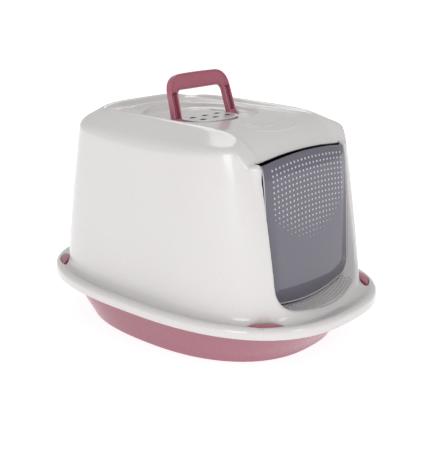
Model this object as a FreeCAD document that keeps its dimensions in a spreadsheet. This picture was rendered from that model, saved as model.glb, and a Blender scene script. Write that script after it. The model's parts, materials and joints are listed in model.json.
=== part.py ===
import FreeCAD, Part
import Sketcher
import math
import os

# Hooded cat litter box: an oval tray, a hood that drops over its rim, a swing door in the front,
# a folding carry handle, four press-in clips on the rim and a filter under a vented roof lid.
#
# Axes: +Z up, +X to the box's left-hand side as it faces you, the door looks along -Y.
# Origin: on the floor, under the middle of the box. Millimetres.

V = FreeCAD.Vector
doc = FreeCAD.newDocument("litter_box")

# ----------------------------------------------------------------------------------------------
# Driving sizes
# ----------------------------------------------------------------------------------------------
GRILLE_SLOTS = 5
SAME_PLACE = 0.01

SIZES = {
    # the outline shared by the hood's flange and the tray's rim
    "overall_length": 540,
    "overall_width": 380,
    "outline_corner": 100,
    "outline_side_bow": 18,
    "outline_end_bow": 27,
    # thickness of every moulded wall
    "wall": 2.5,
    # how far a cutting tool runs past what it cuts, and how deep a pin is rooted in its piece
    "cut_margin": 5,
    "pin_root": 6,
    # tray
    "tray_height": 71,
    "tray_rim_width": 18,
    "tray_side_taper": 14,
    "tray_end_taper": 45,
    "tray_foot_corner": 88,
    "tray_foot_side_bow": 12,
    "tray_foot_end_bow": 18,
    "tray_foot_rounding": 8,
    "tray_foot_thickening": 2,
    "rim_gap": 1.5,
    "seat_gap": 0.3,
    # hood flange: a rolled lip, then a valley round the foot of the wall
    "lip_radius": 8,
    "lip_drop": 8,
    "lip_lean": 1,
    "valley_radius": 10,
    "valley_inset": 21.5,
    "valley_root_inset": 29.7,
    "flange_reach": 36,
    # hood shell: the outlines of its foot, shoulder and crest
    "foot_rise": 4,
    "foot_inset_side": 30,
    "foot_inset_end": 32,
    "foot_corner": 85,
    "foot_side_bow": 10,
    "foot_end_bow": 15,
    "shoulder_height": 309,
    "shoulder_inset_side": 10,
    "shoulder_inset_end": 57,
    "shoulder_shift": -4,
    "shoulder_corner": 60,
    "shoulder_bow": 4,
    "shoulder_rounding": 14,
    "hood_height": 338,
    "crest_inset_side": 38,
    "crest_inset_end": 33,
    "crest_shift": 3,
    "crest_corner": 48,
    "crest_side_bow": 5,
    "crest_end_bow": 7,
    "crest_rounding": 9,
    # roof channel that runs forward and down to the doorway
    "channel_half_width": 101,
    "channel_rear": 138,
    "channel_depth": 8,
    "visor_start": 110,
    "visor_edge": 172,
    "visor_drop": 32,
    # doorway
    "doorway_floor": 80,
    "doorway_corner": 26,
    "doorway_arch": 8,
    "doorway_inner_edge": 150,
    # door
    "door_gap": 2.5,
    "door_foot_gap": 4,
    "door_head_gap": 2,
    "door_thickness": 2.5,
    "door_foot_set": 194,
    "door_foot_bow": 7,
    "door_waist_height": 245,
    "door_waist_set": 187,
    "door_waist_bow": 4,
    "door_head_set": 174,
    "door_head_bow": 0.5,
    "door_pin_height": 276,
    "door_pin_set": 178,
    "door_pin_radius": 2.5,
    "door_pin_end_gap": 0.5,
    "pin_clearance": 0.08,
    # oval scoop in the roof, with the filter well under the vent lid
    "scoop_depth": 9,
    "scoop_margin": 14,
    "scoop_half_length": 78,
    "scoop_centre": 18,
    "scoop_corner": 45,
    "scoop_bow": 6,
    "lid_half_width": 49,
    "lid_half_length": 44,
    "lid_centre": 10,
    "lid_corner": 32,
    "lid_bow": 2,
    "lid_rise": 4,
    "lid_ledge": 3,
    "lid_gap": 1,
    "lid_skirt": 5,
    "well_depth": 16,
    "filter_thickness": 8,
    "vent_hole_length": 9,
    "vent_hole_width": 5,
    "vent_hole_pitch": 28,
    "vent_row_front": -13,
    "vent_row_rear": 8.5,
    "grille_slot_length": 64,
    "grille_slot_width": 5,
    "grille_pitch": 12,
    # handle
    "handle_half_width": 70,
    "handle_taper": 4,
    "handle_leg": 15,
    "handle_bar": 24,
    "handle_depth": 10,
    "handle_reach": 73,
    "handle_corner": 24,
    "handle_inner_corner": 9,
    "handle_lean": 16,
    "handle_pivot_y": 8,
    "handle_foot": 7,
    "handle_pin_radius": 3,
    "handle_pin_reach": 4,
    "handle_skin": 2.2,
    "handle_bar_recess": 3,
    "handle_rib": 2,
    "handle_boss": 4,
    "slot_gap": 1,
    "slot_front": 11,
    "slot_back": 47,
    "slot_depth": 16,
    "pivot_drop": 1,
    "cheek_rise": 6,
    "cheek_width": 5,
    "cheek_half_length": 8,
    # press-in clips on the tray rim
    "clip_length": 53,
    "clip_width": 13,
    "clip_head": 7,
    "clip_rise": 9,
    "clip_angle": 43.5,
    "clip_x_inset": 66,
    "clip_y_inset": 59,
    "clip_gap": 0.8,
    "clip_travel_gap": 4,
    "clip_stem_length": 34,
    "clip_stem_width": 5,
    "clip_axle_drop": 8,
    "clip_axle_radius": 1.5,
    "clip_lug": 5,
    "clip_lug_margin": 1,
    "clip_slot_low": 2,
}

sheet = doc.addObject("Spreadsheet::Sheet", "Sizes")
for row, (alias, number) in enumerate(SIZES.items(), start=1):
    sheet.set("A%d" % row, alias)
    sheet.set("B%d" % row, str(number))
    sheet.setAlias("B%d" % row, alias)
doc.recompute()


def bound(expression):
    """Write an expression's aliases as the sheet's cells."""
    words = []
    for word in expression.replace("(", " ( ").replace(")", " ) ").split():
        words.append("Sizes." + word if word in SIZES else word)
    return " ".join(words)


def value(expression):
    """The number that an expression in sheet aliases gives now."""
    return float(sheet.evalExpression(bound(expression).replace("Sizes.", "")))


def bind(target, path, expression):
    target.setExpression(path, bound(expression))


# ----------------------------------------------------------------------------------------------
# Sketches
# ----------------------------------------------------------------------------------------------
def make_body(name):
    body = doc.addObject("PartDesign::Body", name)
    body.Label = name
    return body


def make_sketch(body, name, plane, offset="0"):
    """A sketch on one of the body's own origin planes, moved along that plane's normal."""
    sketch = body.newObject("Sketcher::SketchObject", name)
    for feature in body.Origin.OriginFeatures:
        if feature.Role == plane:
            sketch.AttachmentSupport = [(feature, "")]
    sketch.MapMode = "FlatFace"
    bind(sketch, "AttachmentOffset.Base.z", offset)
    return sketch


def fix(sketch, name, kind, places, expression):
    """Add one dimension to a sketch and bind it to the sheet."""
    sketch.addConstraint(Sketcher.Constraint(kind, *places, value(expression)))
    index = sketch.ConstraintCount - 1
    sketch.renameConstraint(index, name)
    bind(sketch, "Constraints." + name, expression)


def fix_point(sketch, name, geometry, point, x, y):
    fix(sketch, name + "_x", "DistanceX", (-1, 1, geometry, point), x)
    fix(sketch, name + "_y", "DistanceY", (-1, 1, geometry, point), y)


def circle_arc(centre, radius, start, end):
    circle = Part.Circle(V(centre[0], centre[1], 0), V(0, 0, 1), radius)
    return Part.ArcOfCircle(circle, start, end)


def join(sketch, *ends):
    """Make pairs of curve ends meet: geometry, end, geometry, end, with end 1 the start."""
    for first, first_end, second, second_end in ends:
        sketch.addConstraint(Sketcher.Constraint("Coincident", first, first_end, second, second_end))


def join_smoothly(sketch, *ends):
    """Make pairs of curve ends meet and touch."""
    for first, first_end, second, second_end in ends:
        sketch.addConstraint(Sketcher.Constraint("Tangent", first, first_end, second, second_end))


class Oval:
    """A bowed rectangle: four corner arcs joined by four long, flat arcs, all tangent."""

    def __init__(self, half_x, half_y, corner, bow_x, bow_y, centre_y="0"):
        self.half_x = half_x
        self.half_y = half_y
        self.corner = corner
        self.bow_x = bow_x
        self.bow_y = bow_y
        self.centre_y = centre_y

    def inset(self, distance):
        """The parallel outline inside this one: the same arc centres, smaller radii."""
        return Oval("( %s ) - ( %s )" % (self.half_x, distance),
                    "( %s ) - ( %s )" % (self.half_y, distance),
                    "( %s ) - ( %s )" % (self.corner, distance),
                    self.bow_x, self.bow_y, self.centre_y)

    def draw(self, body, name, height):
        sketch = make_sketch(body, name, "XY_Plane", height)
        corner_x = "( %s ) - ( %s ) - ( %s )" % (self.half_x, self.corner, self.bow_x)
        corner_y = "( %s ) - ( %s ) - ( %s )" % (self.half_y, self.corner, self.bow_y)
        # A flat arc passes the half width and touches two corner arcs from outside.
        square = "( ( ( {c} ) + ( {b} ) ) ^ 2 + ( {o} ) ^ 2 - ( {c} ) ^ 2 ) / ( 2 * ( {b} ) )"
        side_radius = square.format(c=self.corner, b=self.bow_x, o=corner_y)
        end_radius = square.format(c=self.corner, b=self.bow_y, o=corner_x)
        half_x, half_y, corner = value(self.half_x), value(self.half_y), value(self.corner)
        cx, cy, y0 = value(corner_x), value(corner_y), value(self.centre_y)
        rx, ry = value(side_radius), value(end_radius)
        side = math.atan2(cy, cx - half_x + rx)
        end = math.atan2(cy - half_y + ry, cx)
        pi = math.pi
        # Eight arcs in turn, the +X side cut in two so that the outline starts at y0.
        arcs = [
            circle_arc((half_x - rx, y0), rx, 0, side),
            circle_arc((cx, y0 + cy), corner, side, end),
            circle_arc((0, y0 + half_y - ry), ry, end, pi - end),
            circle_arc((-cx, y0 + cy), corner, pi - end, pi - side),
            circle_arc((rx - half_x, y0), rx, pi - side, pi + side),
            circle_arc((-cx, y0 - cy), corner, pi + side, pi + end),
            circle_arc((0, y0 - half_y + ry), ry, pi + end, 2 * pi - end),
            circle_arc((cx, y0 - cy), corner, 2 * pi - end, 2 * pi - side),
            circle_arc((half_x - rx, y0), rx, 2 * pi - side, 2 * pi),
        ]
        sketch.addGeometry(arcs, False)
        for index in range(len(arcs)):
            join_smoothly(sketch, (index, 2, (index + 1) % len(arcs), 1))
        corners = {1: ("1", "1"), 3: ("-1", "1"), 5: ("-1", "-1"), 7: ("1", "-1")}
        for index, (sign_x, sign_y) in corners.items():
            x = "%s * ( %s )" % (sign_x, corner_x)
            y = "%s * ( %s ) + ( %s )" % (sign_y, corner_y, self.centre_y)
            fix_point(sketch, "corner%d" % index, index, 3, x, y)
            fix(sketch, "corner_radius%d" % index, "Radius", (index,), self.corner)
        for index in (0, 4, 8):
            fix(sketch, "side_radius%d" % index, "Radius", (index,), side_radius)
        for index in (2, 6):
            fix(sketch, "end_radius%d" % index, "Radius", (index,), end_radius)
        fix(sketch, "start_y", "DistanceY", (-1, 1, 0, 1), self.centre_y)
        return sketch


def draw_polygon(body, name, plane, points, offset="0"):
    """A closed outline of straight lines through points given in sheet expressions."""
    sketch = make_sketch(body, name, plane, offset)
    corners = [V(value(x), value(y), 0) for x, y in points]
    lines = []
    for index, start in enumerate(corners):
        lines.append(Part.LineSegment(start, corners[(index + 1) % len(corners)]))
    sketch.addGeometry(lines, False)
    for index in range(len(lines)):
        join(sketch, (index, 2, (index + 1) % len(lines), 1))
    for index, (x, y) in enumerate(points):
        fix_point(sketch, "p%d" % index, index, 1, x, y)
    return sketch


def draw_circles(body, name, plane, circles, offset="0"):
    sketch = make_sketch(body, name, plane, offset)
    for index, (x, y, radius) in enumerate(circles):
        circle = Part.Circle(V(value(x), value(y), 0), V(0, 0, 1), value(radius))
        sketch.addGeometry(circle, False)
        fix_point(sketch, "c%d" % index, index, 3, x, y)
        fix(sketch, "r%d" % index, "Radius", (index,), radius)
    return sketch


def draw_lens(body, name, length, width, offset="0"):
    """Two equal arcs that meet in points at both ends of the length, along X."""
    sketch = make_sketch(body, name, "XY_Plane", offset)
    half = value(length) / 2
    rise = value(width) / 2
    radius = (half ** 2 + rise ** 2) / (2 * rise)
    sweep = math.asin(half / radius)
    top = circle_arc((0, rise - radius), radius, math.pi / 2 - sweep, math.pi / 2 + sweep)
    bottom = circle_arc((0, radius - rise), radius, 3 * math.pi / 2 - sweep, 3 * math.pi / 2 + sweep)
    sketch.addGeometry([top, bottom], False)
    join(sketch, (0, 2, 1, 1), (1, 2, 0, 1))
    fix_point(sketch, "tip", 0, 1, "( %s ) / 2" % length, "0")
    fix_point(sketch, "tail", 0, 2, "( %s ) / -2" % length, "0")
    bulge = "( ( ( {l} ) / 2 ) ^ 2 + ( ( {w} ) / 2 ) ^ 2 ) / ( {w} )".format(l=length, w=width)
    fix(sketch, "top_radius", "Radius", (0,), bulge)
    fix(sketch, "bottom_radius", "Radius", (1,), bulge)
    return sketch


def draw_slot_outline(body, name, x, y, half, radius, height):
    """A round-ended slot along X."""
    sketch = make_sketch(body, name, "XY_Plane", height)
    cx, cy, reach, r = value(x), value(y), value(half), value(radius)
    right = circle_arc((cx + reach, cy), r, -math.pi / 2, math.pi / 2)
    left = circle_arc((cx - reach, cy), r, math.pi / 2, 1.5 * math.pi)
    top = Part.LineSegment(right.EndPoint, left.StartPoint)
    bottom = Part.LineSegment(left.EndPoint, right.StartPoint)
    sketch.addGeometry([right, top, left, bottom], False)
    join_smoothly(sketch, (0, 2, 1, 1), (1, 2, 2, 1), (2, 2, 3, 1), (3, 2, 0, 1))
    fix_point(sketch, "right", 0, 3, "( %s ) + ( %s )" % (x, half), y)
    fix_point(sketch, "left", 2, 3, "( %s ) - ( %s )" % (x, half), y)
    fix(sketch, "radius", "Radius", (0,), radius)
    return sketch


# ----------------------------------------------------------------------------------------------
# Features
# ----------------------------------------------------------------------------------------------
def loft(body, name, sketches, subtract=False):
    kind = "PartDesign::SubtractiveLoft" if subtract else "PartDesign::AdditiveLoft"
    feature = body.newObject(kind, name)
    feature.Profile = sketches[0]
    feature.Sections = sketches[1:]
    feature.Ruled = True
    return feature


def pad(body, name, sketch, length, both_ways=False, reverse=False):
    feature = body.newObject("PartDesign::Pad", name)
    feature.Profile = sketch
    bind(feature, "Length", length)
    feature.Midplane = both_ways
    feature.Reversed = reverse
    return feature


def pocket(body, name, sketch, depth, both_ways=False, reverse=False):
    feature = body.newObject("PartDesign::Pocket", name)
    feature.Profile = sketch
    bind(feature, "Length", depth)
    feature.Midplane = both_ways
    feature.Reversed = reverse
    return feature


def round_level(body, name, height, radius):
    """Fillet the ring of edges that lies level at one height of the body's last shape."""
    doc.recompute()
    previous = body.Tip
    level = value(height)
    names = []
    for index, edge in enumerate(previous.Shape.Edges, start=1):
        if all(abs(vertex.Point.z - level) < SAME_PLACE for vertex in edge.Vertexes):
            names.append("Edge%d" % index)
    fillet = body.newObject("PartDesign::Fillet", name)
    fillet.Base = (previous, names)
    bind(fillet, "Radius", radius)
    return fillet


def round_corners(body, name, radius, corners):
    """Fillet the edges that run along Y through the given X, Z corners of the body's last shape."""
    doc.recompute()
    wanted = [(value(x), value(z)) for x, z in corners]
    names = []
    previous = body.Tip
    for index, edge in enumerate(previous.Shape.Edges, start=1):
        ends = [vertex.Point for vertex in edge.Vertexes]
        if len(ends) != 2 or (ends[0] - ends[1]).Length < SAME_PLACE:
            continue
        for x, z in wanted:
            if all(math.hypot(end.x - x, end.z - z) < SAME_PLACE for end in ends):
                names.append("Edge%d" % index)
    fillet = body.newObject("PartDesign::Fillet", name)
    fillet.Base = (previous, names)
    bind(fillet, "Radius", radius)
    return fillet


def place(target, x="0", y="0", z="0", axis=V(0, 0, 1), angle="0"):
    target.Placement = FreeCAD.Placement(V(0, 0, 0), FreeCAD.Rotation(axis, 1))
    bind(target, "Placement.Base.x", x)
    bind(target, "Placement.Base.y", y)
    bind(target, "Placement.Base.z", z)
    bind(target, "Placement.Rotation.Angle", angle)


def cut(name, base, tool):
    feature = doc.addObject("Part::Cut", name)
    feature.Base = base
    feature.Tool = tool
    return feature


def fuse(name, shapes):
    feature = doc.addObject("Part::MultiFuse", name)
    feature.Shapes = shapes
    return feature


# ----------------------------------------------------------------------------------------------
# Heights and outlines that several pieces share
# ----------------------------------------------------------------------------------------------
OUTLINE = Oval("overall_width / 2", "overall_length / 2",
               "outline_corner", "outline_side_bow", "outline_end_bow")
HOOD_FOOT = Oval("overall_width / 2 - foot_inset_side", "overall_length / 2 - foot_inset_end",
                 "foot_corner", "foot_side_bow", "foot_end_bow")
HOOD_SHOULDER = Oval("( %s ) - shoulder_inset_side" % HOOD_FOOT.half_x,
                     "( %s ) - shoulder_inset_end" % HOOD_FOOT.half_y,
                     "shoulder_corner", "shoulder_bow", "shoulder_bow", "shoulder_shift")
HOOD_CREST = Oval("( %s ) - crest_inset_side" % HOOD_SHOULDER.half_x,
                  "( %s ) - crest_inset_end" % HOOD_SHOULDER.half_y,
                  "crest_corner", "crest_side_bow", "crest_end_bow", "crest_shift")
SCOOP = Oval("handle_half_width + scoop_margin", "scoop_half_length", "scoop_corner",
             "scoop_bow", "scoop_bow", "scoop_centre")
LID = Oval("lid_half_width", "lid_half_length", "lid_corner", "lid_bow", "lid_bow", "lid_centre")
WELL = LID.inset("lid_ledge")

HOOD_FOOT_Z = "tray_height + foot_rise"
CHANNEL_Z = "hood_height - channel_depth"
VISOR_EDGE_Z = "hood_height - channel_depth - visor_drop"
SCOOP_Z = "hood_height - channel_depth - scoop_depth"
WELL_Z = "( %s ) - well_depth" % SCOOP_Z
PIVOT_Z = "( %s ) - pivot_drop" % SCOOP_Z
ABOVE = "hood_height + cut_margin"
AHEAD = "overall_length / 2 + cut_margin"

# The four clips: name, side of X, side of Y and the turn that points their outer edge outward.
CLIPS = [
    ("front_left", "-1", "-1", "90 + clip_angle"),
    ("front_right", "1", "-1", "-90 - clip_angle"),
    ("rear_left", "-1", "1", "90 - clip_angle"),
    ("rear_right", "1", "1", "clip_angle - 90"),
]
CLIP_AXLE_Z = "tray_height - clip_axle_drop"


def place_at_clip(target, side_x, side_y, turn, height):
    place(target,
          "%s * ( overall_width / 2 - clip_x_inset )" % side_x,
          "%s * ( overall_length / 2 - clip_y_inset )" % side_y,
          height, V(0, 0, 1), turn)


def minus(expression):
    return "-1 * ( %s )" % expression


def make_box(name, low, size):
    """A Part::Box with one corner at low, all in sheet expressions."""
    box = doc.addObject("Part::Box", name)
    for path, expression in zip(("Length", "Width", "Height"), size):
        bind(box, path, expression)
    for path, expression in zip("xyz", low):
        bind(box, "Placement.Base." + path, expression)
    return box


def make_rod(name, radius, length, x, y, z):
    """A Part::Cylinder along +X that starts at x, y, z."""
    rod = doc.addObject("Part::Cylinder", name)
    bind(rod, "Radius", radius)
    bind(rod, "Height", length)
    place(rod, x, y, z, V(0, 1, 0), "90")
    return rod


# ----------------------------------------------------------------------------------------------
# Tray
# ----------------------------------------------------------------------------------------------
def make_tray():
    shell = make_body("tray_shell")
    rim = OUTLINE.inset("wall + rim_gap")
    mouth = rim.inset("tray_rim_width")
    foot = Oval("( %s ) - tray_side_taper" % mouth.half_x, "( %s ) - tray_end_taper" % mouth.half_y,
                "tray_foot_corner", "tray_foot_side_bow", "tray_foot_end_bow")
    toe = foot.inset("tray_foot_rounding")
    loft(shell, "wall_foot", [toe.draw(shell, "toe_outline", "0"),
                              foot.draw(shell, "foot_outline", "tray_foot_rounding / 2")])
    loft(shell, "wall_outside", [foot.draw(shell, "wall_outline", "tray_foot_rounding / 2"),
                                 mouth.draw(shell, "mouth_outline", "tray_height")])
    pad(shell, "rim", rim.draw(shell, "rim_outline", "tray_height - wall"), "wall")
    floor = foot.inset("wall + tray_foot_thickening")
    loft(shell, "inside", [floor.draw(shell, "floor_outline", "wall"),
                           mouth.inset("wall").draw(shell, "mouth_inside", "tray_height")],
         subtract=True)
    # Each clip stands in a slot through the rim, on an axle between two lugs under it.
    lugs = []
    cuts = []
    for name, side_x, side_y, turn in CLIPS:
        seat = make_body("clip_seat_" + name)
        inner = "clip_stem_length / 2 + clip_gap"
        outer = inner + " + clip_lug"
        half = "clip_stem_width / 2 + clip_lug_margin"
        lug_low = "clip_lug / 2 + clip_lug_margin"
        for side, (start, end) in enumerate(((inner, outer), (minus(outer), minus(inner)))):
            block = draw_polygon(seat, "lug_outline%d" % side, "XY_Plane",
                                 [(start, minus(half)), (end, minus(half)),
                                  (end, half), (start, half)], minus(lug_low))
            pad(seat, "lug%d" % side, block, "clip_axle_drop + %s - wall / 2" % lug_low)
        place_at_clip(seat, side_x, side_y, turn, CLIP_AXLE_Z)
        lugs.append(seat)
        slot = make_body("clip_rim_slot_" + name)
        near = "-1 * clip_stem_width / 2 - clip_travel_gap / 2"
        far = "clip_stem_width / 2 + clip_gap"
        opening = draw_polygon(slot, "slot_outline", "XY_Plane",
                               [(minus(inner), near), (inner, near), (inner, far),
                                (minus(inner), far)], "clip_slot_low")
        pad(slot, "slot", opening, "clip_axle_drop + cut_margin")
        hole = draw_circles(slot, "bore_outline", "YZ_Plane",
                            [("0", "0", "clip_axle_radius + pin_clearance")])
        pad(slot, "bore", hole, "2 * ( %s + clip_lug_margin )" % outer, both_ways=True)
        place_at_clip(slot, side_x, side_y, turn, CLIP_AXLE_Z)
        cuts.append(slot)
    return cut("tray", fuse("tray_with_lugs", [shell] + lugs), fuse("tray_clip_cuts", cuts))


# ----------------------------------------------------------------------------------------------
# Hood
# ----------------------------------------------------------------------------------------------
def draw_flange_profile(body):
    """The flange's section beside +X: lip foot, rolled lip, slope, valley and its root in the wall."""
    sketch = make_sketch(body, "flange_profile", "XZ_Plane")
    lip_place = ("overall_width / 2 - lip_radius", "tray_height")
    valley_place = ("overall_width / 2 - valley_inset",
                    "tray_height + seat_gap + wall + valley_radius")
    foot_place = ("overall_width / 2 - lip_lean", "tray_height - lip_drop")
    root_join = "overall_width / 2 - valley_root_inset"
    root_place = "overall_width / 2 - flange_reach"
    lip = tuple(value(part) for part in lip_place)
    valley = tuple(value(part) for part in valley_place)
    foot_x, foot_z = (value(part) for part in foot_place)
    root = value(root_place)
    lip_r, valley_r, wall = value("lip_radius"), value("valley_radius"), value("wall")
    # The slope touches the lip from above and the valley from below.
    span = math.hypot(lip[0] - valley[0], lip[1] - valley[1])
    towards = math.atan2(valley[1] - lip[1], valley[0] - lip[0])
    slope = towards - math.acos((lip_r + valley_r) / span)
    root_turn = math.pi + math.acos((valley[0] - value(root_join)) / valley_r)
    lip_outer = circle_arc(lip, lip_r, 0, slope)
    lip_inner = circle_arc(lip, lip_r - wall, 0, slope)
    valley_top = circle_arc(valley, valley_r, root_turn, slope + math.pi)
    valley_low = circle_arc(valley, valley_r + wall, 1.5 * math.pi, slope + math.pi)
    root_high = V(root, valley_top.StartPoint.y, 0)
    root_low = V(root, valley_low.StartPoint.y, 0)
    foot_outer = V(foot_x, foot_z, 0)
    foot_inner = V(foot_x - wall, foot_z, 0)
    sketch.addGeometry([
        Part.LineSegment(foot_outer, lip_outer.StartPoint),
        lip_outer,
        Part.LineSegment(lip_outer.EndPoint, valley_top.EndPoint),
        valley_top,
        Part.LineSegment(valley_top.StartPoint, root_high),
        Part.LineSegment(root_high, root_low),
        Part.LineSegment(root_low, valley_low.StartPoint),
        valley_low,
        Part.LineSegment(valley_low.EndPoint, lip_inner.EndPoint),
        lip_inner,
        Part.LineSegment(lip_inner.StartPoint, foot_inner),
        Part.LineSegment(foot_inner, foot_outer),
    ], False)
    join(sketch, (0, 2, 1, 1), (3, 1, 4, 1), (4, 2, 5, 1), (5, 2, 6, 1), (9, 1, 10, 1),
         (10, 2, 11, 1), (11, 2, 0, 1), (7, 3, 3, 3), (9, 3, 1, 3))
    join_smoothly(sketch, (1, 2, 2, 1), (2, 2, 3, 2), (6, 2, 7, 1), (7, 2, 8, 1), (8, 2, 9, 2))
    sketch.addConstraint(Sketcher.Constraint("Horizontal", 4))
    sketch.addConstraint(Sketcher.Constraint("Horizontal", 6))
    fix_point(sketch, "lip", 1, 3, *lip_place)
    fix_point(sketch, "valley", 3, 3, *valley_place)
    fix_point(sketch, "foot", 0, 1, *foot_place)
    fix_point(sketch, "foot_inner", 10, 2, foot_place[0] + " - wall", foot_place[1])
    fix(sketch, "lip_outer_start", "DistanceY", (-1, 1, 1, 1), lip_place[1])
    fix(sketch, "lip_inner_start", "DistanceY", (-1, 1, 9, 1), lip_place[1])
    fix(sketch, "root_join", "DistanceX", (-1, 1, 3, 1), root_join)
    fix(sketch, "root_high", "DistanceX", (-1, 1, 4, 2), root_place)
    fix(sketch, "root_low", "DistanceX", (-1, 1, 5, 2), root_place)
    for name, index, radius in (("lip_outer", 1, "lip_radius"), ("lip_inner", 9, "lip_radius - wall"),
                                ("valley_top", 3, "valley_radius"),
                                ("valley_low", 7, "valley_radius + wall")):
        fix(sketch, name + "_radius", "Radius", (index,), radius)
    return sketch


def make_hood_solid():
    solid = make_body("hood_outside")
    levels = [HOOD_FOOT.draw(solid, "foot_outline", HOOD_FOOT_Z),
              HOOD_SHOULDER.draw(solid, "shoulder_outline", "shoulder_height")]
    loft(solid, "side_walls", levels)
    crest = [HOOD_SHOULDER.draw(solid, "shoulder_outline_top", "shoulder_height"),
             HOOD_CREST.draw(solid, "crest_outline", "hood_height")]
    loft(solid, "shoulders", crest)
    round_level(solid, "shoulder_rounding", "shoulder_height", "shoulder_rounding")
    round_level(solid, "crest_rounding", "hood_height", "crest_rounding")
    spine = OUTLINE.draw(solid, "flange_outline", "tray_height")
    flange = solid.newObject("PartDesign::AdditivePipe", "flange")
    flange.Profile = draw_flange_profile(solid)
    flange.Spine = (spine, [])
    return solid


def make_hood_hollow():
    hollow = make_body("hood_inside")
    foot = HOOD_FOOT.inset("wall")
    shoulder = HOOD_SHOULDER.inset("wall")
    crest = HOOD_CREST.inset("wall")
    shoulder_z = "shoulder_height - wall / 2"
    loft(hollow, "foot_room", [foot.draw(hollow, "hem_outline", "tray_height - lip_drop - cut_margin"),
                               foot.draw(hollow, "hem_outline_top", HOOD_FOOT_Z)])
    loft(hollow, "wall_room", [foot.draw(hollow, "foot_outline", HOOD_FOOT_Z),
                               shoulder.draw(hollow, "shoulder_outline", shoulder_z)])
    loft(hollow, "roof_room", [shoulder.draw(hollow, "shoulder_outline_top", shoulder_z),
                               crest.draw(hollow, "crest_outline", "hood_height - wall")])
    round_level(hollow, "shoulder_rounding", shoulder_z, "shoulder_rounding - wall")
    round_level(hollow, "crest_rounding", "hood_height - wall", "crest_rounding - wall")
    return hollow


def draw_channel(body, depth):
    """The roof channel from the side, sunk by a further depth: rear wall, floor and visor curve."""
    sketch = make_sketch(body, "channel_side", "YZ_Plane")
    run = "( visor_edge - visor_start )"
    bend = "( ( %s ^ 2 + visor_drop ^ 2 ) / ( 2 * visor_drop ) )" % run
    radius = "%s - ( %s )" % (bend, depth)
    centre = (minus("visor_start"), "( %s ) - %s" % (CHANNEL_Z, bend))
    rear, ahead = "channel_rear + ( %s )" % depth, minus(AHEAD)
    end_y = "-1 * visor_start - ( %s ) * %s / %s" % (radius, run, bend)
    sweep = math.asin(value(run) / value(bend))
    curve = circle_arc([value(part) for part in centre], value(radius), math.pi / 2,
                       math.pi / 2 + sweep)
    corners = [curve.EndPoint, V(value(ahead), curve.EndPoint.y, 0), V(value(ahead), value(ABOVE), 0),
               V(value(rear), value(ABOVE), 0), V(value(rear), curve.StartPoint.y, 0),
               curve.StartPoint]
    sketch.addGeometry([curve] + [Part.LineSegment(a, b) for a, b in zip(corners, corners[1:])],
                       False)
    join(sketch, (0, 2, 1, 1), (1, 2, 2, 1), (2, 2, 3, 1), (3, 2, 4, 1), (4, 2, 5, 1))
    join_smoothly(sketch, (5, 2, 0, 1))
    sketch.addConstraint(Sketcher.Constraint("Horizontal", 1))
    sketch.addConstraint(Sketcher.Constraint("Horizontal", 5))
    fix_point(sketch, "bend", 0, 3, *centre)
    fix(sketch, "bend_radius", "Radius", (0,), radius)
    fix(sketch, "visor_end", "DistanceX", (-1, 1, 0, 2), end_y)
    fix(sketch, "ahead_low", "DistanceX", (-1, 1, 1, 2), ahead)
    fix_point(sketch, "ahead_high", 2, 2, ahead, ABOVE)
    fix_point(sketch, "rear_high", 3, 2, rear, ABOVE)
    fix(sketch, "rear_low", "DistanceX", (-1, 1, 4, 2), rear)
    return sketch


def draw_doorway(body, name, offset, half, corner, floor, top, framed=False):
    """The doorway from the front: straight jambs, round lower corners and a bowed sill.

    A framed outline lies in a rectangle wider than the hood, so that a cut leaves what is inside.
    """
    sketch = make_sketch(body, name, "XZ_Plane", offset)
    corner_x = "( %s ) - ( %s )" % (half, corner)
    corner_z = "( %s ) + ( %s ) + doorway_arch" % (floor, corner)
    bow = "( ( {x} ) ^ 2 + ( {c} + doorway_arch ) ^ 2 - ( {c} ) ^ 2 ) / ( 2 * doorway_arch )"
    bow_radius = bow.format(x=corner_x, c="( %s )" % corner)
    cx, cz, high, side = value(corner_x), value(corner_z), value(top), value(half)
    radius, sill_z = value(bow_radius), value(floor)
    turn = math.atan2(cz - sill_z - radius, cx)
    pi = math.pi
    sill = circle_arc((0, sill_z + radius), radius, pi - turn, 2 * pi + turn)
    right = circle_arc((cx, cz), value(corner), 2 * pi + turn, 2 * pi)
    left = circle_arc((-cx, cz), value(corner), pi, pi - turn)
    jamb_right = Part.LineSegment(right.EndPoint, V(side, high, 0))
    lintel = Part.LineSegment(V(side, high, 0), V(-side, high, 0))
    jamb_left = Part.LineSegment(V(-side, high, 0), left.StartPoint)
    sketch.addGeometry([sill, right, jamb_right, lintel, jamb_left, left], False)
    join(sketch, (2, 2, 3, 1), (3, 2, 4, 1))
    join_smoothly(sketch, (0, 2, 1, 1), (1, 2, 2, 1), (4, 2, 5, 1), (5, 2, 0, 1))
    fix_point(sketch, "corner_right", 1, 3, corner_x, corner_z)
    fix_point(sketch, "corner_left", 5, 3, minus(corner_x), corner_z)
    fix(sketch, "radius_right", "Radius", (1,), corner)
    fix(sketch, "radius_left", "Radius", (5,), corner)
    fix(sketch, "sill_radius", "Radius", (0,), bow_radius)
    fix_point(sketch, "lintel_right", 2, 2, half, top)
    fix_point(sketch, "lintel_left", 3, 2, minus(half), top)
    if framed:
        reach, first = "overall_width / 2", sketch.GeometryCount
        corners = [(minus(reach), "0"), (reach, "0"), (reach, ABOVE), (minus(reach), ABOVE)]
        points = [V(value(x), value(z), 0) for x, z in corners]
        for index, point in enumerate(points):
            sketch.addGeometry(Part.LineSegment(point, points[(index + 1) % 4]), False)
        for index, (x, z) in enumerate(corners):
            join(sketch, (first + index, 2, first + (index + 1) % 4, 1))
            fix_point(sketch, "frame%d" % index, first + index, 1, x, z)
    return sketch


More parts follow.
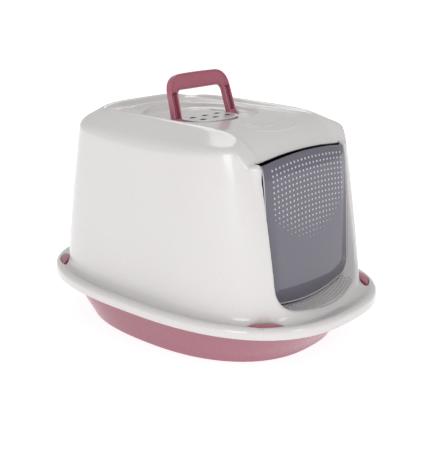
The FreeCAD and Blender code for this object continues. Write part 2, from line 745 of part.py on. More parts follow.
def make_recesses(name, grow):
    """Everything sunk into the hood, as one tool; grow makes the lining's outside."""
    recess = make_body(name)
    channel_width = "2 * ( channel_half_width + ( %s ) )" % grow
    pad(recess, "channel", draw_channel(recess, grow), channel_width, both_ways=True)
    scoop = SCOOP.inset("-1 * ( %s )" % grow)
    pad(recess, "scoop", scoop.draw(recess, "scoop_outline", "( %s ) - ( %s )" % (SCOOP_Z, grow)),
        "hood_height - ( %s )" % SCOOP_Z)
    well = WELL.inset("-1 * ( %s )" % grow)
    pad(recess, "well", well.draw(recess, "well_outline", "( %s ) - ( %s )" % (WELL_Z, grow)),
        "well_depth + wall")
    inner = "handle_half_width - handle_leg - handle_taper - slot_gap - ( %s )" % grow
    outer = "handle_half_width + slot_gap + ( %s )" % grow
    front = "handle_pivot_y - slot_front - ( %s )" % grow
    rear = "handle_pivot_y + slot_back + ( %s )" % grow
    for side in ("1", "-1"):
        near, far = "%s * ( %s )" % (side, inner), "%s * ( %s )" % (side, outer)
        outline = draw_polygon(recess, "slot_outline" + ("_left" if side == "1" else "_right"),
                               "XY_Plane", [(near, front), (far, front), (far, rear), (near, rear)],
                               "( %s ) - slot_depth - ( %s )" % (SCOOP_Z, grow))
        pad(recess, "handle_slot" + ("_left" if side == "1" else "_right"), outline,
            "slot_depth + wall")
    return recess


def make_hood():
    solid = make_hood_solid()
    recesses = make_recesses("hood_recesses", "0")
    linings = make_recesses("hood_linings", "wall")

    doorway = make_body("doorway")
    opening = ("channel_half_width", "doorway_corner", "doorway_floor", ABOVE)
    lining = ("channel_half_width + wall", "doorway_corner + wall", "doorway_floor - wall", ABOVE)
    pad(doorway, "doorway", draw_doorway(doorway, "doorway_outline", "visor_edge", *opening),
        "overall_length / 2 - visor_edge")
    jambs = make_body("jambs")
    pad(jambs, "outside", draw_doorway(jambs, "jamb_outside", "doorway_inner_edge", *lining),
        "overall_length / 2 - doorway_inner_edge")
    inner = draw_doorway(jambs, "jamb_inside", "doorway_inner_edge - cut_margin", *opening)
    pocket(jambs, "inside", inner, "overall_length / 2 - doorway_inner_edge + 2 * cut_margin",
           reverse=True)

    skin = cut("hood_skin", cut("hood_outer_cut", solid, fuse("hood_sinks", [recesses, doorway])),
               cut("hood_room", make_hood_hollow(), fuse("hood_linings_all", [linings, jambs])))

    # A cheek stands on the scoop's floor outside each handle slot and carries the pivot.
    cheek_x = "handle_half_width + slot_gap"
    cheeks = []
    for name, low_x in (("left", cheek_x), ("right", "-1 * ( %s ) - cheek_width" % cheek_x)):
        cheeks.append(make_box("cheek_" + name,
                               (low_x, "handle_pivot_y - cheek_half_length",
                                "( %s ) - slot_depth + wall" % SCOOP_Z),
                               ("cheek_width", "2 * cheek_half_length",
                                "slot_depth - wall + cheek_rise")))
    solid_parts = fuse("hood_with_cheeks", [skin] + cheeks)

    openings = []
    bore = "handle_pin_radius + pin_clearance"
    depth = "handle_pin_reach + slot_gap / 2"
    for side, start in (("left", "handle_half_width"),
                        ("right", minus("handle_half_width + " + depth))):
        openings.append(make_rod("handle_bore_" + side, bore, depth, start, "handle_pivot_y",
                                 PIVOT_Z))
    across = "channel_half_width + wall + pin_clearance"
    openings.append(make_rod("door_bore", "door_pin_radius + pin_clearance",
                             "2 * ( %s )" % across, minus(across),
                             minus("door_pin_set"), "door_pin_height"))
    for name, side_x, side_y, turn in CLIPS:
        slot = make_body("clip_slot_" + name)
        width = "clip_width + clip_gap + clip_travel_gap"
        lens = draw_lens(slot, "slot_outline", "clip_length + 2 * clip_travel_gap", width,
                         "clip_slot_low")
        pad(slot, "slot", lens, "clip_axle_drop + clip_rise + cut_margin")
        bind(lens, "AttachmentOffset.Base.y", "( clip_gap - clip_travel_gap ) / 2")
        place_at_clip(slot, side_x, side_y, turn, CLIP_AXLE_Z)
        openings.append(slot)
    grille = make_body("grille")
    half = "grille_slot_length / 2"
    for index in range(GRILLE_SLOTS):
        middle = "lid_centre + %d * grille_pitch" % (index - GRILLE_SLOTS // 2)
        low = middle + " - grille_slot_width / 2"
        high = middle + " + grille_slot_width / 2"
        bar = draw_polygon(grille, "bar%d" % index, "XY_Plane",
                           [(minus(half), low), (half, low), (half, high), (minus(half), high)],
                           "( %s ) - 2 * wall" % WELL_Z)
        pad(grille, "grille_slot%d" % index, bar, "3 * wall")
    openings.append(grille)
    return cut("hood", solid_parts, fuse("hood_openings", openings))


# ----------------------------------------------------------------------------------------------
# Door
# ----------------------------------------------------------------------------------------------
def draw_door_slice(body, name, height, set_back, bow):
    """The door's section at one height: two concentric arcs joined at the side edges."""
    sketch = make_sketch(body, name, "XY_Plane", height)
    half = "( channel_half_width - door_gap )"
    front_radius = "( %s ^ 2 + %s ^ 2 ) / ( 2 * %s )" % (half, bow, bow)
    back_radius = front_radius + " - door_thickness"
    centre_y = "%s - %s - %s" % (front_radius, bow, set_back)
    side, radius, inner = value(half), value(front_radius), value(back_radius)
    centre = (0, value(centre_y))
    sweep = math.asin(side / radius)
    back_sweep = math.asin(side / inner)
    down = 1.5 * math.pi
    front = circle_arc(centre, radius, down - sweep, down + sweep)
    back = circle_arc(centre, inner, down - back_sweep, down + back_sweep)
    right = Part.LineSegment(front.EndPoint, back.EndPoint)
    left = Part.LineSegment(back.StartPoint, front.StartPoint)
    sketch.addGeometry([front, right, back, left], False)
    join(sketch, (0, 2, 1, 1), (1, 2, 2, 2), (2, 1, 3, 1), (3, 2, 0, 1), (2, 3, 0, 3))
    fix_point(sketch, "centre", 0, 3, "0", centre_y)
    fix(sketch, "front_radius", "Radius", (0,), front_radius)
    fix(sketch, "back_radius", "Radius", (2,), back_radius)
    for corner, geometry, end, x in (("front_left", 0, 1, minus(half)), ("front_right", 0, 2, half),
                                     ("back_left", 2, 1, minus(half)), ("back_right", 2, 2, half)):
        fix(sketch, corner, "DistanceX", (-1, 1, geometry, end), x)
    return sketch


def make_door():
    door = make_body("door")
    foot_z = "doorway_floor + door_foot_gap / 2"
    head_z = "( %s )" % VISOR_EDGE_Z
    lower = [draw_door_slice(door, "foot_slice", foot_z, "door_foot_set", "door_foot_bow"),
             draw_door_slice(door, "waist_slice", "door_waist_height", "door_waist_set",
                             "door_waist_bow")]
    loft(door, "panel", lower)
    upper = [draw_door_slice(door, "waist_slice_top", "door_waist_height", "door_waist_set",
                             "door_waist_bow"),
             draw_door_slice(door, "head_slice", head_z, "door_head_set", "door_head_bow")]
    loft(door, "head", upper)
    outline = draw_doorway(door, "door_outline", "0", "channel_half_width - door_gap",
                           "doorway_corner - door_gap", "doorway_floor + door_foot_gap",
                           "( %s ) - wall - door_head_gap" % VISOR_EDGE_Z, framed=True)
    pocket(door, "edge", outline, "overall_length", reverse=True)
    edge = "channel_half_width - door_gap"
    reach = "door_gap + wall - door_pin_end_gap"
    for side, offset, flip in (("left", "( %s ) - pin_root" % edge, False),
                               ("right", "pin_root - ( %s )" % edge, True)):
        pin = draw_circles(door, "pin_outline_" + side, "YZ_Plane",
                           [("-1 * door_pin_set", "door_pin_height", "door_pin_radius")], offset)
        pad(door, "pin_" + side, pin, "pin_root + " + reach, reverse=flip)
    return door


# ----------------------------------------------------------------------------------------------
# Handle
# ----------------------------------------------------------------------------------------------
def make_handle():
    handle = make_body("handle")
    half = "handle_half_width"
    inner = "handle_half_width - handle_leg"
    top_half = "handle_half_width - handle_taper"
    top_inner = "handle_half_width - handle_leg - handle_taper"
    under_bar = "handle_reach - handle_bar"
    foot = "-1 * handle_foot"

    outline = [(half, foot), (top_half, "handle_reach"), (minus(top_half), "handle_reach"),
               (minus(half), foot), (minus(inner), foot),
               (minus(top_inner), under_bar), (top_inner, under_bar), (inner, foot)]
    pad(handle, "bow", draw_polygon(handle, "bow_outline", "XZ_Plane", outline),
        "handle_depth", both_ways=True)
    round_corners(handle, "shoulder_rounding", "handle_corner",
                  [(top_half, "handle_reach"), (minus(top_half), "handle_reach")])
    round_corners(handle, "grip_rounding", "handle_inner_corner",
                  [(top_inner, under_bar), (minus(top_inner), under_bar)])
    for side, offset, flip in (("left", "handle_half_width - pin_root", False),
                               ("right", "pin_root - handle_half_width", True)):
        pin = draw_circles(handle, "pin_outline_" + side, "YZ_Plane",
                           [("0", "0", "handle_pin_radius")], offset)
        pad(handle, "pin_" + side, pin, "pin_root + handle_pin_reach", reverse=flip)
    # The front face is dished: shallow along the bar, deep down each leg.
    skin = "handle_skin"
    bar_low = "handle_reach - handle_bar + " + skin
    bar_high = "handle_reach - " + skin
    bar_half = "handle_half_width - handle_corner"
    dish = draw_polygon(handle, "bar_dish_outline", "XZ_Plane",
                        [(minus(bar_half), bar_low), (bar_half, bar_low),
                         (bar_half, bar_high), (minus(bar_half), bar_high)],
                        "handle_depth / 2")
    pocket(handle, "bar_dish", dish, "handle_bar_recess")
    leg_low = "handle_pin_radius + handle_boss"
    leg_high = "handle_reach - handle_bar - handle_rib"
    outer_slope = "handle_taper / ( handle_reach + handle_foot )"
    inner_slope = "handle_taper / ( handle_reach - handle_bar + handle_foot )"
    inside = (inner + " + " + skin, inner_slope)
    outside = (half + " - " + skin, outer_slope)
    for side in ("1", "-1"):
        corners = []
        for z, (edge, slope) in ((leg_low, inside), (leg_low, outside),
                                 (leg_high, outside), (leg_high, inside)):
            x = "%s * ( %s - %s * ( %s + handle_foot ) )" % (side, edge, slope, z)
            corners.append((x, z))
        dish = draw_polygon(handle, "leg_dish_outline", "XZ_Plane", corners, "handle_depth / 2")
        pocket(handle, "leg_dish", dish, "handle_depth - " + skin)
    place(handle, "0", "handle_pivot_y", PIVOT_Z, V(1, 0, 0), "-1 * handle_lean")
    return handle


# ----------------------------------------------------------------------------------------------
# Vent lid and filter
# ----------------------------------------------------------------------------------------------
def make_vent_lid():
    lid = make_body("vent_lid")
    pad(lid, "plate", LID.draw(lid, "lid_outline", SCOOP_Z), "lid_rise")
    skirt = WELL.inset("lid_gap")
    pad(lid, "skirt", skirt.draw(lid, "skirt_outline", "( %s ) - lid_skirt" % SCOOP_Z), "lid_skirt")
    hollow = skirt.inset("wall")
    pocket(lid, "underside", hollow.draw(lid, "underside_outline", "( %s ) - lid_skirt" % SCOOP_Z),
           "lid_skirt + lid_rise - wall", reverse=True)
    half = "( vent_hole_length - vent_hole_width ) / 2"
    for row, y in enumerate(("vent_row_front", "vent_row_rear")):
        for column in (-1, 0, 1):
            x = "%d * vent_hole_pitch" % column
            hole = draw_slot_outline(lid, "hole%d_%d" % (row, column + 1), x, y, half,
                                     "vent_hole_width / 2", "( %s ) + lid_rise" % SCOOP_Z)
            pocket(lid, "vent%d_%d" % (row, column + 1), hole, "2 * wall")
    return lid


def make_carbon_filter():
    pad_body = make_body("carbon_filter")
    outline = WELL.inset("lid_gap")
    pad(pad_body, "pad", outline.draw(pad_body, "filter_outline", WELL_Z), "filter_thickness")
    return pad_body


# ----------------------------------------------------------------------------------------------
# Clips
# ----------------------------------------------------------------------------------------------
def make_clip(name, side_x, side_y, turn):
    clip = make_body("snap_clip_" + name)
    head_low = "clip_axle_drop + clip_rise - clip_head"
    pad(clip, "head", draw_lens(clip, "head_outline", "clip_length", "clip_width", head_low),
        "clip_head")
    stem_half = "clip_stem_width / 2"
    stem_reach = "clip_stem_length / 2"
    outline = [(minus(stem_reach), minus(stem_half)), (stem_reach, minus(stem_half)),
               (stem_reach, stem_half), (minus(stem_reach), stem_half)]
    pad(clip, "stem", draw_polygon(clip, "stem_outline", "XY_Plane", outline,
                                   minus("clip_axle_radius")),
        "( %s ) + clip_axle_radius" % head_low)
    axle = draw_circles(clip, "axle_outline", "YZ_Plane", [("0", "0", "clip_axle_radius")])
    pad(clip, "axle", axle, "clip_stem_length + 2 * clip_gap + 2 * clip_lug - clip_lug_margin",
        both_ways=True)
    place_at_clip(clip, side_x, side_y, turn, CLIP_AXLE_Z)
    return clip


# ----------------------------------------------------------------------------------------------
# Build, check and write
# ----------------------------------------------------------------------------------------------
pieces = [make_tray(), make_hood(), make_door(), make_handle(), make_vent_lid(),
          make_carbon_filter()]
for clip in CLIPS:
    pieces.append(make_clip(*clip))
for piece in pieces:
    piece.Label = piece.Name
doc.recompute()

for item in doc.Objects:
    if "Invalid" in item.State or "Error" in item.State:
        raise RuntimeError("%s failed: %s" % (item.Name, item.State))
for piece in pieces:
    if piece.Shape.isNull() or not piece.Shape.isValid():
        raise RuntimeError("%s has no valid shape" % piece.Label)
    print("%-24s %9.0f mm3  %d solid" % (piece.Label, piece.Shape.Volume, len(piece.Shape.Solids)))

os.makedirs("parts", exist_ok=True)
for piece in pieces:
    piece.Shape.exportStep("parts/%s.step" % piece.Label)
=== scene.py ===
import json
import math

import bmesh
import bpy
import numpy as np
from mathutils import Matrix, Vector


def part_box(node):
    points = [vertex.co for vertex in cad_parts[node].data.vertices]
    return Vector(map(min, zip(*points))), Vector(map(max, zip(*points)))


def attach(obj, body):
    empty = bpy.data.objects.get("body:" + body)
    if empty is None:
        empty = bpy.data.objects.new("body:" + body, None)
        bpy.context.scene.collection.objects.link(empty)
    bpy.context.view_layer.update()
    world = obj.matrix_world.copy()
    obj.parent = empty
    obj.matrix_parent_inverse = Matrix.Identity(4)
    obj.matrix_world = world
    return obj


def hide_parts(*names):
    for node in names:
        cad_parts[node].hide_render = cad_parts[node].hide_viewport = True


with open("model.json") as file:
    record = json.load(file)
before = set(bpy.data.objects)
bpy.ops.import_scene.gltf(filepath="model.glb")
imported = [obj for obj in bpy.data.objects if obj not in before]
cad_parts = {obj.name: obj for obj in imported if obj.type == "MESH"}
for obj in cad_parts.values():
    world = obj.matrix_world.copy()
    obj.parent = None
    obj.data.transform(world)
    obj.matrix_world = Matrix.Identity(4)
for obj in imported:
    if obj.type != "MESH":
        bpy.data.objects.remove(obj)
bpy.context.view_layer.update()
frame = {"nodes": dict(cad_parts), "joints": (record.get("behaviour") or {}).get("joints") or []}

# Places that the CAD frame gives, in metres.
HOOD_LOW, HOOD_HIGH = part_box("hood")
TRAY_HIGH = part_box("tray")[1]
LID_LOW, LID_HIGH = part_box("vent_lid")
JOINTS = {joint["name"]: joint for joint in frame["joints"]}

# All the sizes below are in metres.
WALL = 0.0025

# Ovals of the hood: half width, reach to the front, reach to the rear, and how square each is.
# The crest and the shoulder line tilt and bow by these heights over the shoulder's reach.
# On a sloping surface the true distance is only a share of the horizontal one.
WALL_FOOT = (0.1603, 0.2365, 0.2402, 3.25)
WALL_HEAD = (0.1499, 0.1846, 0.1769, 4.79)
CREST = (0.1115, 0.1447, 0.1515, 4.03)
WALL_FOOT_Z = 0.075
WALL_HEAD_Z = 0.3077
CREST_Z = HOOD_HIGH.z - 0.0005
CREST_TILT = 0.0026
SHOULDER_TILT = 0.0019
SHOULDER_BOW = 0.0070
SHOULDER_REACH = 0.150
SHOULDER_SHARE = 0.6

# The flange: its outline's power, the rolled lip, the valley and the slope between them.
FLANGE_POWER = 2.62
LIP_RADIUS = 0.008
VALLEY_Z = TRAY_HIGH.z + 0.0028
SLOPE_ANGLE = math.radians(58.0)

# The doorway and the roof channel that curves down to it.
DOORWAY_HALF = 0.101
DOORWAY_FLOOR = 0.080
DOORWAY_BOW = 0.008
DOORWAY_CORNER = 0.026
DOORWAY_BACK = -0.172
JAMB_DEPTH = 0.022
JAMB_TOP = 0.2885
CRISP_Z = 0.270
CRISP_RISE = 0.015
CHANNEL_Z = 0.330
CHANNEL_REAR = 0.136
CHANNEL_DRAFT = 0.35
VISOR_START = -0.110
VISOR_RADIUS = 0.076
VISOR_ARCH = 0.007
RIDGE_LOW = 0.0012
RIDGE_DROOP = 0.0075

# The oval scoop round the handle, the handle's slots and the lid's well.
SCOOP = (0.086, 0.080, 0.080, 2.7)
SCOOP_SHARE = 0.7
SCOOP_Z = 0.321
SCOOP_CENTRE = 0.018
SLOT_X = 0.0605
SLOT_HALF_WIDTH = 0.0105
SLOT_Y = 0.026
SLOT_HALF_LENGTH = 0.029
SLOT_Z = SCOOP_Z - 0.016
LID = (0.049, 0.044, 0.044, 3.2)
LID_CENTRE = 0.010
LID_PLATE = 0.0015
LID_HOLES = [(hole_x, hole_y) for hole_x in (-0.028, 0.0, 0.028) for hole_y in (-0.013, 0.0085)]
LID_HOLE_RADIUS = 0.0033
LID_HOLE_STRETCH = 0.003
GRILLE_PITCH = 0.014

# Ripples on the channel's floor: radius, side (front or rear) and share of the radius they span.
RIPPLES = ((0.1185, -1.0, 0.42), (0.1315, -1.0, 0.42), (0.1445, -1.0, 0.42),
           (0.104, 1.0, 0.60), (0.115, 1.0, 0.60), (0.126, 1.0, 0.60))

# The tray: its foot, and how far its wall leans out for each metre of height.
FOOT_X = 0.154
FOOT_Y = 0.203
FOOT_Z = 0.005
FOOT_ROUND = 0.008
FOOT_POWER = 2.4
SIDE_RISE = 0.21
END_RISE = 0.672
POWER_RISE = 8.0

# Where the tray's wall meets its rim, outside and inside: half width, half length, power.
RIM_ROOT = (0.1685, 0.2455, 2.9)
RIM_MOUTH = (0.1655, 0.2430, 2.95)

# The handle, measured in its own leaning frame from its pins.
HANDLE_LEAN = math.radians(16.0)
HANDLE_HALF = 0.070
HANDLE_TAPER = 0.055
HANDLE_LEG = 0.015
HANDLE_TOP = 0.0735
HANDLE_ARCH = 0.0015
HANDLE_ARCH_X = 0.066
BAR_LOW = 0.049
HANDLE_FEET = 0.007
HANDLE_HALF_DEPTH = 0.005
HANDLE_RIM = 0.0022
BAR_DISH = 0.0020
LEG_DISH = 0.0028
LEG_DISH_LOW = 0.007
PIN_RADIUS = 0.003
PIN_X = 0.069
PIN_HALF_LENGTH = 0.005

# The hood's two cheeks that hold the handle's pins.
CHEEK_X = 0.07365
CHEEK_HALF_WIDTH = 0.00235
CHEEK_HALF_LENGTH = 0.008
CHEEK_LOW = 0.3195
CHEEK_HIGH = 0.327

# The rim clips: a lens-shaped head on a flat stem, and the wider slot in the hood round it.
CLIP_HALF_LENGTH = 0.0265
CLIP_HALF_WIDTH = 0.0065
CLIP_LOW = 0.073
CLIP_TOP = 0.0797
CLIP_STEM = (0.017, 0.0025, 0.006)
CLIP_STEM_Z = 0.0675
CLIP_AXLE_Z = 0.063
CLIP_AXLE_RADIUS = 0.0015
CLIP_AXLE_HALF_LENGTH = 0.0215
CLIP_SLOT_HALF_LENGTH = 0.0305
CLIP_SLOT_HALF_WIDTH = 0.0089
CLIP_SLOT_SHIFT = 0.0016
CLIP_SLOT_Z = TRAY_HIGH.z - 0.004

# The door: its outline, then its front, which falls from the head, swells and curls in above.
DOOR_HALF = 0.0985
DOOR_CORNER = 0.0235
DOOR_FLAT = DOOR_HALF - DOOR_CORNER
DOOR_BORDER = 0.018
DOOR_TOP_GAP = 0.0018
DOOR_FOOT_Z = 0.0845
DOOR_FOOT_BOW = 0.0075
DOOR_HEAD_Z = 0.292
DOOR_HEAD_Y = -0.1795
DOOR_FALL = 0.2
DOOR_SWELL = 0.0165
DOOR_CURL = 0.0035
DOOR_BULGE = 0.0032
DOOR_BORDER_DEPTH = 0.0035
DOOR_BEAD_RADIUS = 0.0009
DOOR_PIN_X = 0.0965
DOOR_PIN_RADIUS = 0.0022

# The four clips: the middle of each on the rim, and how far its length is turned from +X.
CLIPS = {}
for name, joint in JOINTS.items():
    if name.startswith("clip_press_"):
        CLIPS[name.removeprefix("clip_press_")] = (
            joint["pos_m"], math.atan2(joint["axis"][1], joint["axis"][0]))


# ----------------------------------------------------------------------------------------------
# Surfaces made from a field: negative inside, zero on the surface, in metres
# ----------------------------------------------------------------------------------------------
def soft_max(first, second, blend):
    """The larger of two fields, rounded over where they are within a blend length of each other."""
    near = np.clip(blend - np.abs(first - second), 0.0, None) / blend
    return np.maximum(first, second) + near * near * blend / 4.0


def soft_min(first, second, blend):
    """The smaller of two fields, rounded over in the same way."""
    return -soft_max(-first, -second, blend)


def mix(first, second, share):
    """The value a share of the way from the first to the second."""
    return first + (second - first) * share


def oval(x, y, half_x, front, rear, power):
    """Horizontal distance outside a superellipse whose front and rear halves differ in length."""
    half_y = np.where(y < 0.0, front, rear)
    ratio = (np.abs(x / half_x) ** power + np.abs(y / half_y) ** power) ** (1.0 / power)
    return np.hypot(x, y) * (1.0 - 1.0 / np.maximum(ratio, 1e-6))


def surface_net(field, low, high, cell):
    """The zero surface of a field inside a box, as points and quads, one point in each cell."""
    axes = [np.arange(a, b + cell, cell) for a, b in zip(low, high)]
    value = field(*np.meshgrid(*axes, indexing="ij"))
    inside = value < 0.0
    cells = tuple(size - 1 for size in value.shape)
    total = np.zeros(cells + (3,))
    count = np.zeros(cells)
    crossings = []
    for axis in range(3):
        others = [other for other in range(3) if other != axis]
        before = tuple(slice(None, -1) if k == axis else slice(None) for k in range(3))
        after = tuple(slice(1, None) if k == axis else slice(None) for k in range(3))
        start = np.argwhere(inside[before] != inside[after])
        here = value[before][tuple(start.T)]
        there = value[after][tuple(start.T)]
        point = start.astype(float)
        point[:, axis] += here / (here - there)
        crossings.append((axis, start, here < 0.0))
        for step_1 in (0, 1):
            for step_2 in (0, 1):
                spot = start.copy()
                spot[:, others[0]] -= step_1
                spot[:, others[1]] -= step_2
                kept = ((spot >= 0) & (spot < cells)).all(axis=1)
                np.add.at(total, tuple(spot[kept].T), point[kept])
                np.add.at(count, tuple(spot[kept].T), 1.0)
    used = count > 0
    number = np.full(cells, -1)
    number[used] = np.arange(used.sum())
    points = total[used] / count[used][:, None] * cell + np.array(low)
    quads = []
    for axis, start, outward in crossings:
        first, second = ((axis + 1) % 3, (axis + 2) % 3)
        ring = []
        for step_1, step_2 in ((0, 0), (1, 0), (1, 1), (0, 1)):
            spot = start.copy()
            spot[:, first] -= step_1
            spot[:, second] -= step_2
            ring.append(spot)
        kept = np.all([((spot >= 0) & (spot < cells)).all(axis=1) for spot in ring], axis=0)
        quad = np.stack([number[tuple(spot[kept].T)] for spot in ring], axis=1)
        quads.append(np.where(outward[kept][:, None], quad, quad[:, ::-1]))
    return points, np.concatenate(quads)


def settle(field, points, cell, rounds=4):
    """Move points onto the zero surface along the field's slope."""
    step = cell * 0.05
    for _ in range(rounds):
        x, y, z = points.T
        slope = np.stack([field(x + step, y, z) - field(x - step, y, z),
                          field(x, y + step, z) - field(x, y - step, z),
                          field(x, y, z + step) - field(x, y, z - step)], axis=1) / (2.0 * step)
        push = field(x, y, z)[:, None] * slope / np.maximum((slope ** 2).sum(axis=1), 0.05)[:, None]
        reach = np.linalg.norm(push, axis=1, keepdims=True)
        points = points - push * np.minimum(1.0, 0.5 * cell / np.maximum(reach, 1e-9))
    return points


# ----------------------------------------------------------------------------------------------
# Materials
# ----------------------------------------------------------------------------------------------
class Nodes:
    """A material's node tree, with short ways to add and join nodes."""

    def __init__(self, name):
        self.material = bpy.data.materials.new(name)
        self.material.use_nodes = True
        self.tree = self.material.node_tree
        self.shader = self.tree.nodes["Principled BSDF"]
        self.place = self.add("ShaderNodeTexCoord").outputs["Object"]

    def add(self, kind, **settings):
        """A new node with some of its settings changed."""
        node = self.tree.nodes.new(kind)
        for name, setting in settings.items():
            setattr(node, name, setting)
        return node

    def join(self, output, socket):
        """Link an output to a socket."""
        self.tree.links.new(output, socket)

    def noise(self, scale, detail=3.0, roughness=0.5):
        """A cloudy pattern between 0 and 1."""
        node = self.add("ShaderNodeTexNoise")
        node.inputs["Scale"].default_value = scale
        node.inputs["Detail"].default_value = detail
        node.inputs["Roughness"].default_value = roughness
        self.join(self.place, node.inputs["Vector"])
        return node.outputs["Fac"]

    def flecks(self, scale, size):
        """A mask of small round flecks, one in each cell of the pattern."""
        node = self.add("ShaderNodeTexVoronoi")
        node.inputs["Scale"].default_value = scale
        self.join(self.place, node.inputs["Vector"])
        return self.spread(node.outputs["Distance"], size, high=0.0)

    def spread(self, output, low, high):
        """Map low..high to 0..1 and clamp."""
        node = self.add("ShaderNodeMapRange")
        node.inputs["From Min"].default_value = low
        node.inputs["From Max"].default_value = high
        self.join(output, node.inputs["Value"])
        return node.outputs["Result"]

    def level(self, output, low, high):
        """Map 0..1 to low..high."""
        node = self.add("ShaderNodeMapRange")
        node.inputs["To Min"].default_value = low
        node.inputs["To Max"].default_value = high
        self.join(output, node.inputs["Value"])
        return node.outputs["Result"]

    def mix(self, mask, first, second):
        """Blend two colours, or outputs that carry one, by a mask."""
        node = self.add("ShaderNodeMix", data_type="RGBA")
        for socket, colour in ((node.inputs[6], first), (node.inputs[7], second)):
            if isinstance(colour, tuple):
                socket.default_value = (*colour, 1.0)
            else:
                self.join(colour, socket)
        self.join(mask, node.inputs["Factor"])
        return node.outputs[2]

    def bump(self, output, height):
        """Let a pattern raise the surface by up to a height."""
        node = self.add("ShaderNodeBump")
        node.inputs["Strength"].default_value = 1.0
        node.inputs["Distance"].default_value = height
        self.join(output, node.inputs["Height"])
        self.join(node.outputs["Normal"], self.shader.inputs["Normal"])


def plastic(name, base, shade, fleck, gloss):
    """Moulded polypropylene: mottled colour, fine flecks, uneven gloss and a faint orange peel."""
    nodes = Nodes(name)
    mottled = nodes.mix(nodes.spread(nodes.noise(scale=9.0), low=0.35, high=0.65), base, shade)
    speckled = nodes.mix(nodes.flecks(scale=520.0, size=0.32), mottled, fleck)
    nodes.join(speckled, nodes.shader.inputs["Base Color"])
    worn = nodes.spread(nodes.noise(scale=30.0, detail=6.0, roughness=0.7), low=0.4, high=0.75)
    nodes.join(nodes.level(worn, gloss, gloss + 0.07), nodes.shader.inputs["Roughness"])
    nodes.bump(nodes.noise(scale=220.0, detail=2.0), height=0.00006)
    nodes.shader.inputs["Coat Weight"].default_value = 0.25
    nodes.shader.inputs["Coat Roughness"].default_value = 0.08
    return nodes.material


# Each plastic: its colour, a second colour it is mottled with, the flecks' colour and its gloss.
HOOD_WHITE = plastic("hood_white", (0.70, 0.68, 0.67), (0.69, 0.67, 0.66),
                     (0.58, 0.56, 0.55), gloss=0.15)
TRAY_PINK = plastic("tray_pink", (0.34, 0.128, 0.168), (0.335, 0.125, 0.165),
                    (0.33, 0.122, 0.16), gloss=0.25)
ACCENT_PINK = plastic("accent_pink", (0.42, 0.115, 0.165), (0.41, 0.11, 0.16),
                      (0.40, 0.105, 0.15), gloss=0.18)
SMOKE = plastic("smoke_clear", (0.130, 0.122, 0.158), (0.125, 0.117, 0.152),
                (0.125, 0.117, 0.152), gloss=0.06)
# The sill's dots are the hood's own off-white plastic; this grey is painted shade from the recess
# under the door.
SILL_DOTS_PAINTED_SHADE = plastic("sill_dots_painted_shade", (0.42, 0.41, 0.42), (0.38, 0.37, 0.38),
                    (0.36, 0.35, 0.36), gloss=0.3)
# A lighter colour for the door's dots and its edge bead: a painted highlight on the lit bumps and
# edge of the smoky door.
PAINTED_HIGHLIGHT = plastic("door_dots_painted_highlight", (0.55, 0.54, 0.58), (0.53, 0.52, 0.56), (0.52, 0.51, 0.55), gloss=0.2)
# The carbon filter's own black, also used as painted shade on the well's floor and on the walls of
# the lid's holes.
FILTER_BLACK_AND_PAINTED_SHADE = plastic("filter_black", (0.03, 0.03, 0.03), (0.02, 0.02, 0.02),
                 (0.04, 0.04, 0.04), gloss=0.8)

NODE_MATERIALS = {"tray": TRAY_PINK, "hood": HOOD_WHITE, "vent_lid": HOOD_WHITE, "door": SMOKE,
                  "carbon_filter": FILTER_BLACK_AND_PAINTED_SHADE}
for name, node in frame["nodes"].items():
    node.data.materials.clear()
    node.data.materials.append(NODE_MATERIALS.get(name, ACCENT_PINK))


# ----------------------------------------------------------------------------------------------
# Hood
# ----------------------------------------------------------------------------------------------
def flange_field(x, y, z):
    """The rolled lip, the slope inside it and the floor of the valley round the wall."""
    inward = -oval(x, y, HOOD_HIGH.x, HOOD_HIGH.y, HOOD_HIGH.y, FLANGE_POWER)
    across, up = inward - LIP_RADIUS, z - TRAY_HIGH.z
    lip = np.hypot(across, up) - LIP_RADIUS
    skirt = np.maximum(-inward, up)
    slope = across * math.cos(SLOPE_ANGLE) + up * math.sin(SLOPE_ANGLE) - LIP_RADIUS
    valley = soft_min(slope, z - VALLEY_Z, blend=0.005)
    inner = np.maximum(valley, LIP_RADIUS * math.cos(SLOPE_ANGLE) - across)
    return np.minimum(np.minimum(lip, skirt), inner)


def shell_field(x, y, z):
    """The plain hood: tapering walls, sloping shoulders and a crest that dips beside the visor."""
    along = y / SHOULDER_REACH
    shoulder_z = WALL_HEAD_Z + SHOULDER_TILT * along + SHOULDER_BOW * along ** 2
    crest_z = CREST_Z + CREST_TILT * along
    front_y = np.maximum(y, DOORWAY_BACK)
    ahead = np.clip((VISOR_START - front_y) / (VISOR_START - DOORWAY_BACK), 0.0, 1.0)
    beside = np.clip(x, -DOORWAY_HALF, DOORWAY_HALF)
    dip = visor_z(beside, front_y) + RIDGE_LOW + RIDGE_DROOP * (1.0 - ahead ** 2)
    cap = np.where(y < VISOR_START, np.minimum(crest_z, dip), crest_z)
    up = np.clip((z - WALL_FOOT_Z) / (WALL_HEAD_Z - WALL_FOOT_Z), -0.2, 1.3)
    wall = oval(x, y, *(mix(foot, head, up) for foot, head in zip(WALL_FOOT, WALL_HEAD)))
    over = np.clip((z - shoulder_z) / (crest_z - shoulder_z), -1.5, 1.5)
    shoulder = oval(x, y, *(mix(head, crest, over) for head, crest in zip(WALL_HEAD, CREST)))
    shoulder = shoulder * SHOULDER_SHARE
    return soft_max(soft_max(wall, shoulder, blend=0.010), z - cap, blend=0.006)


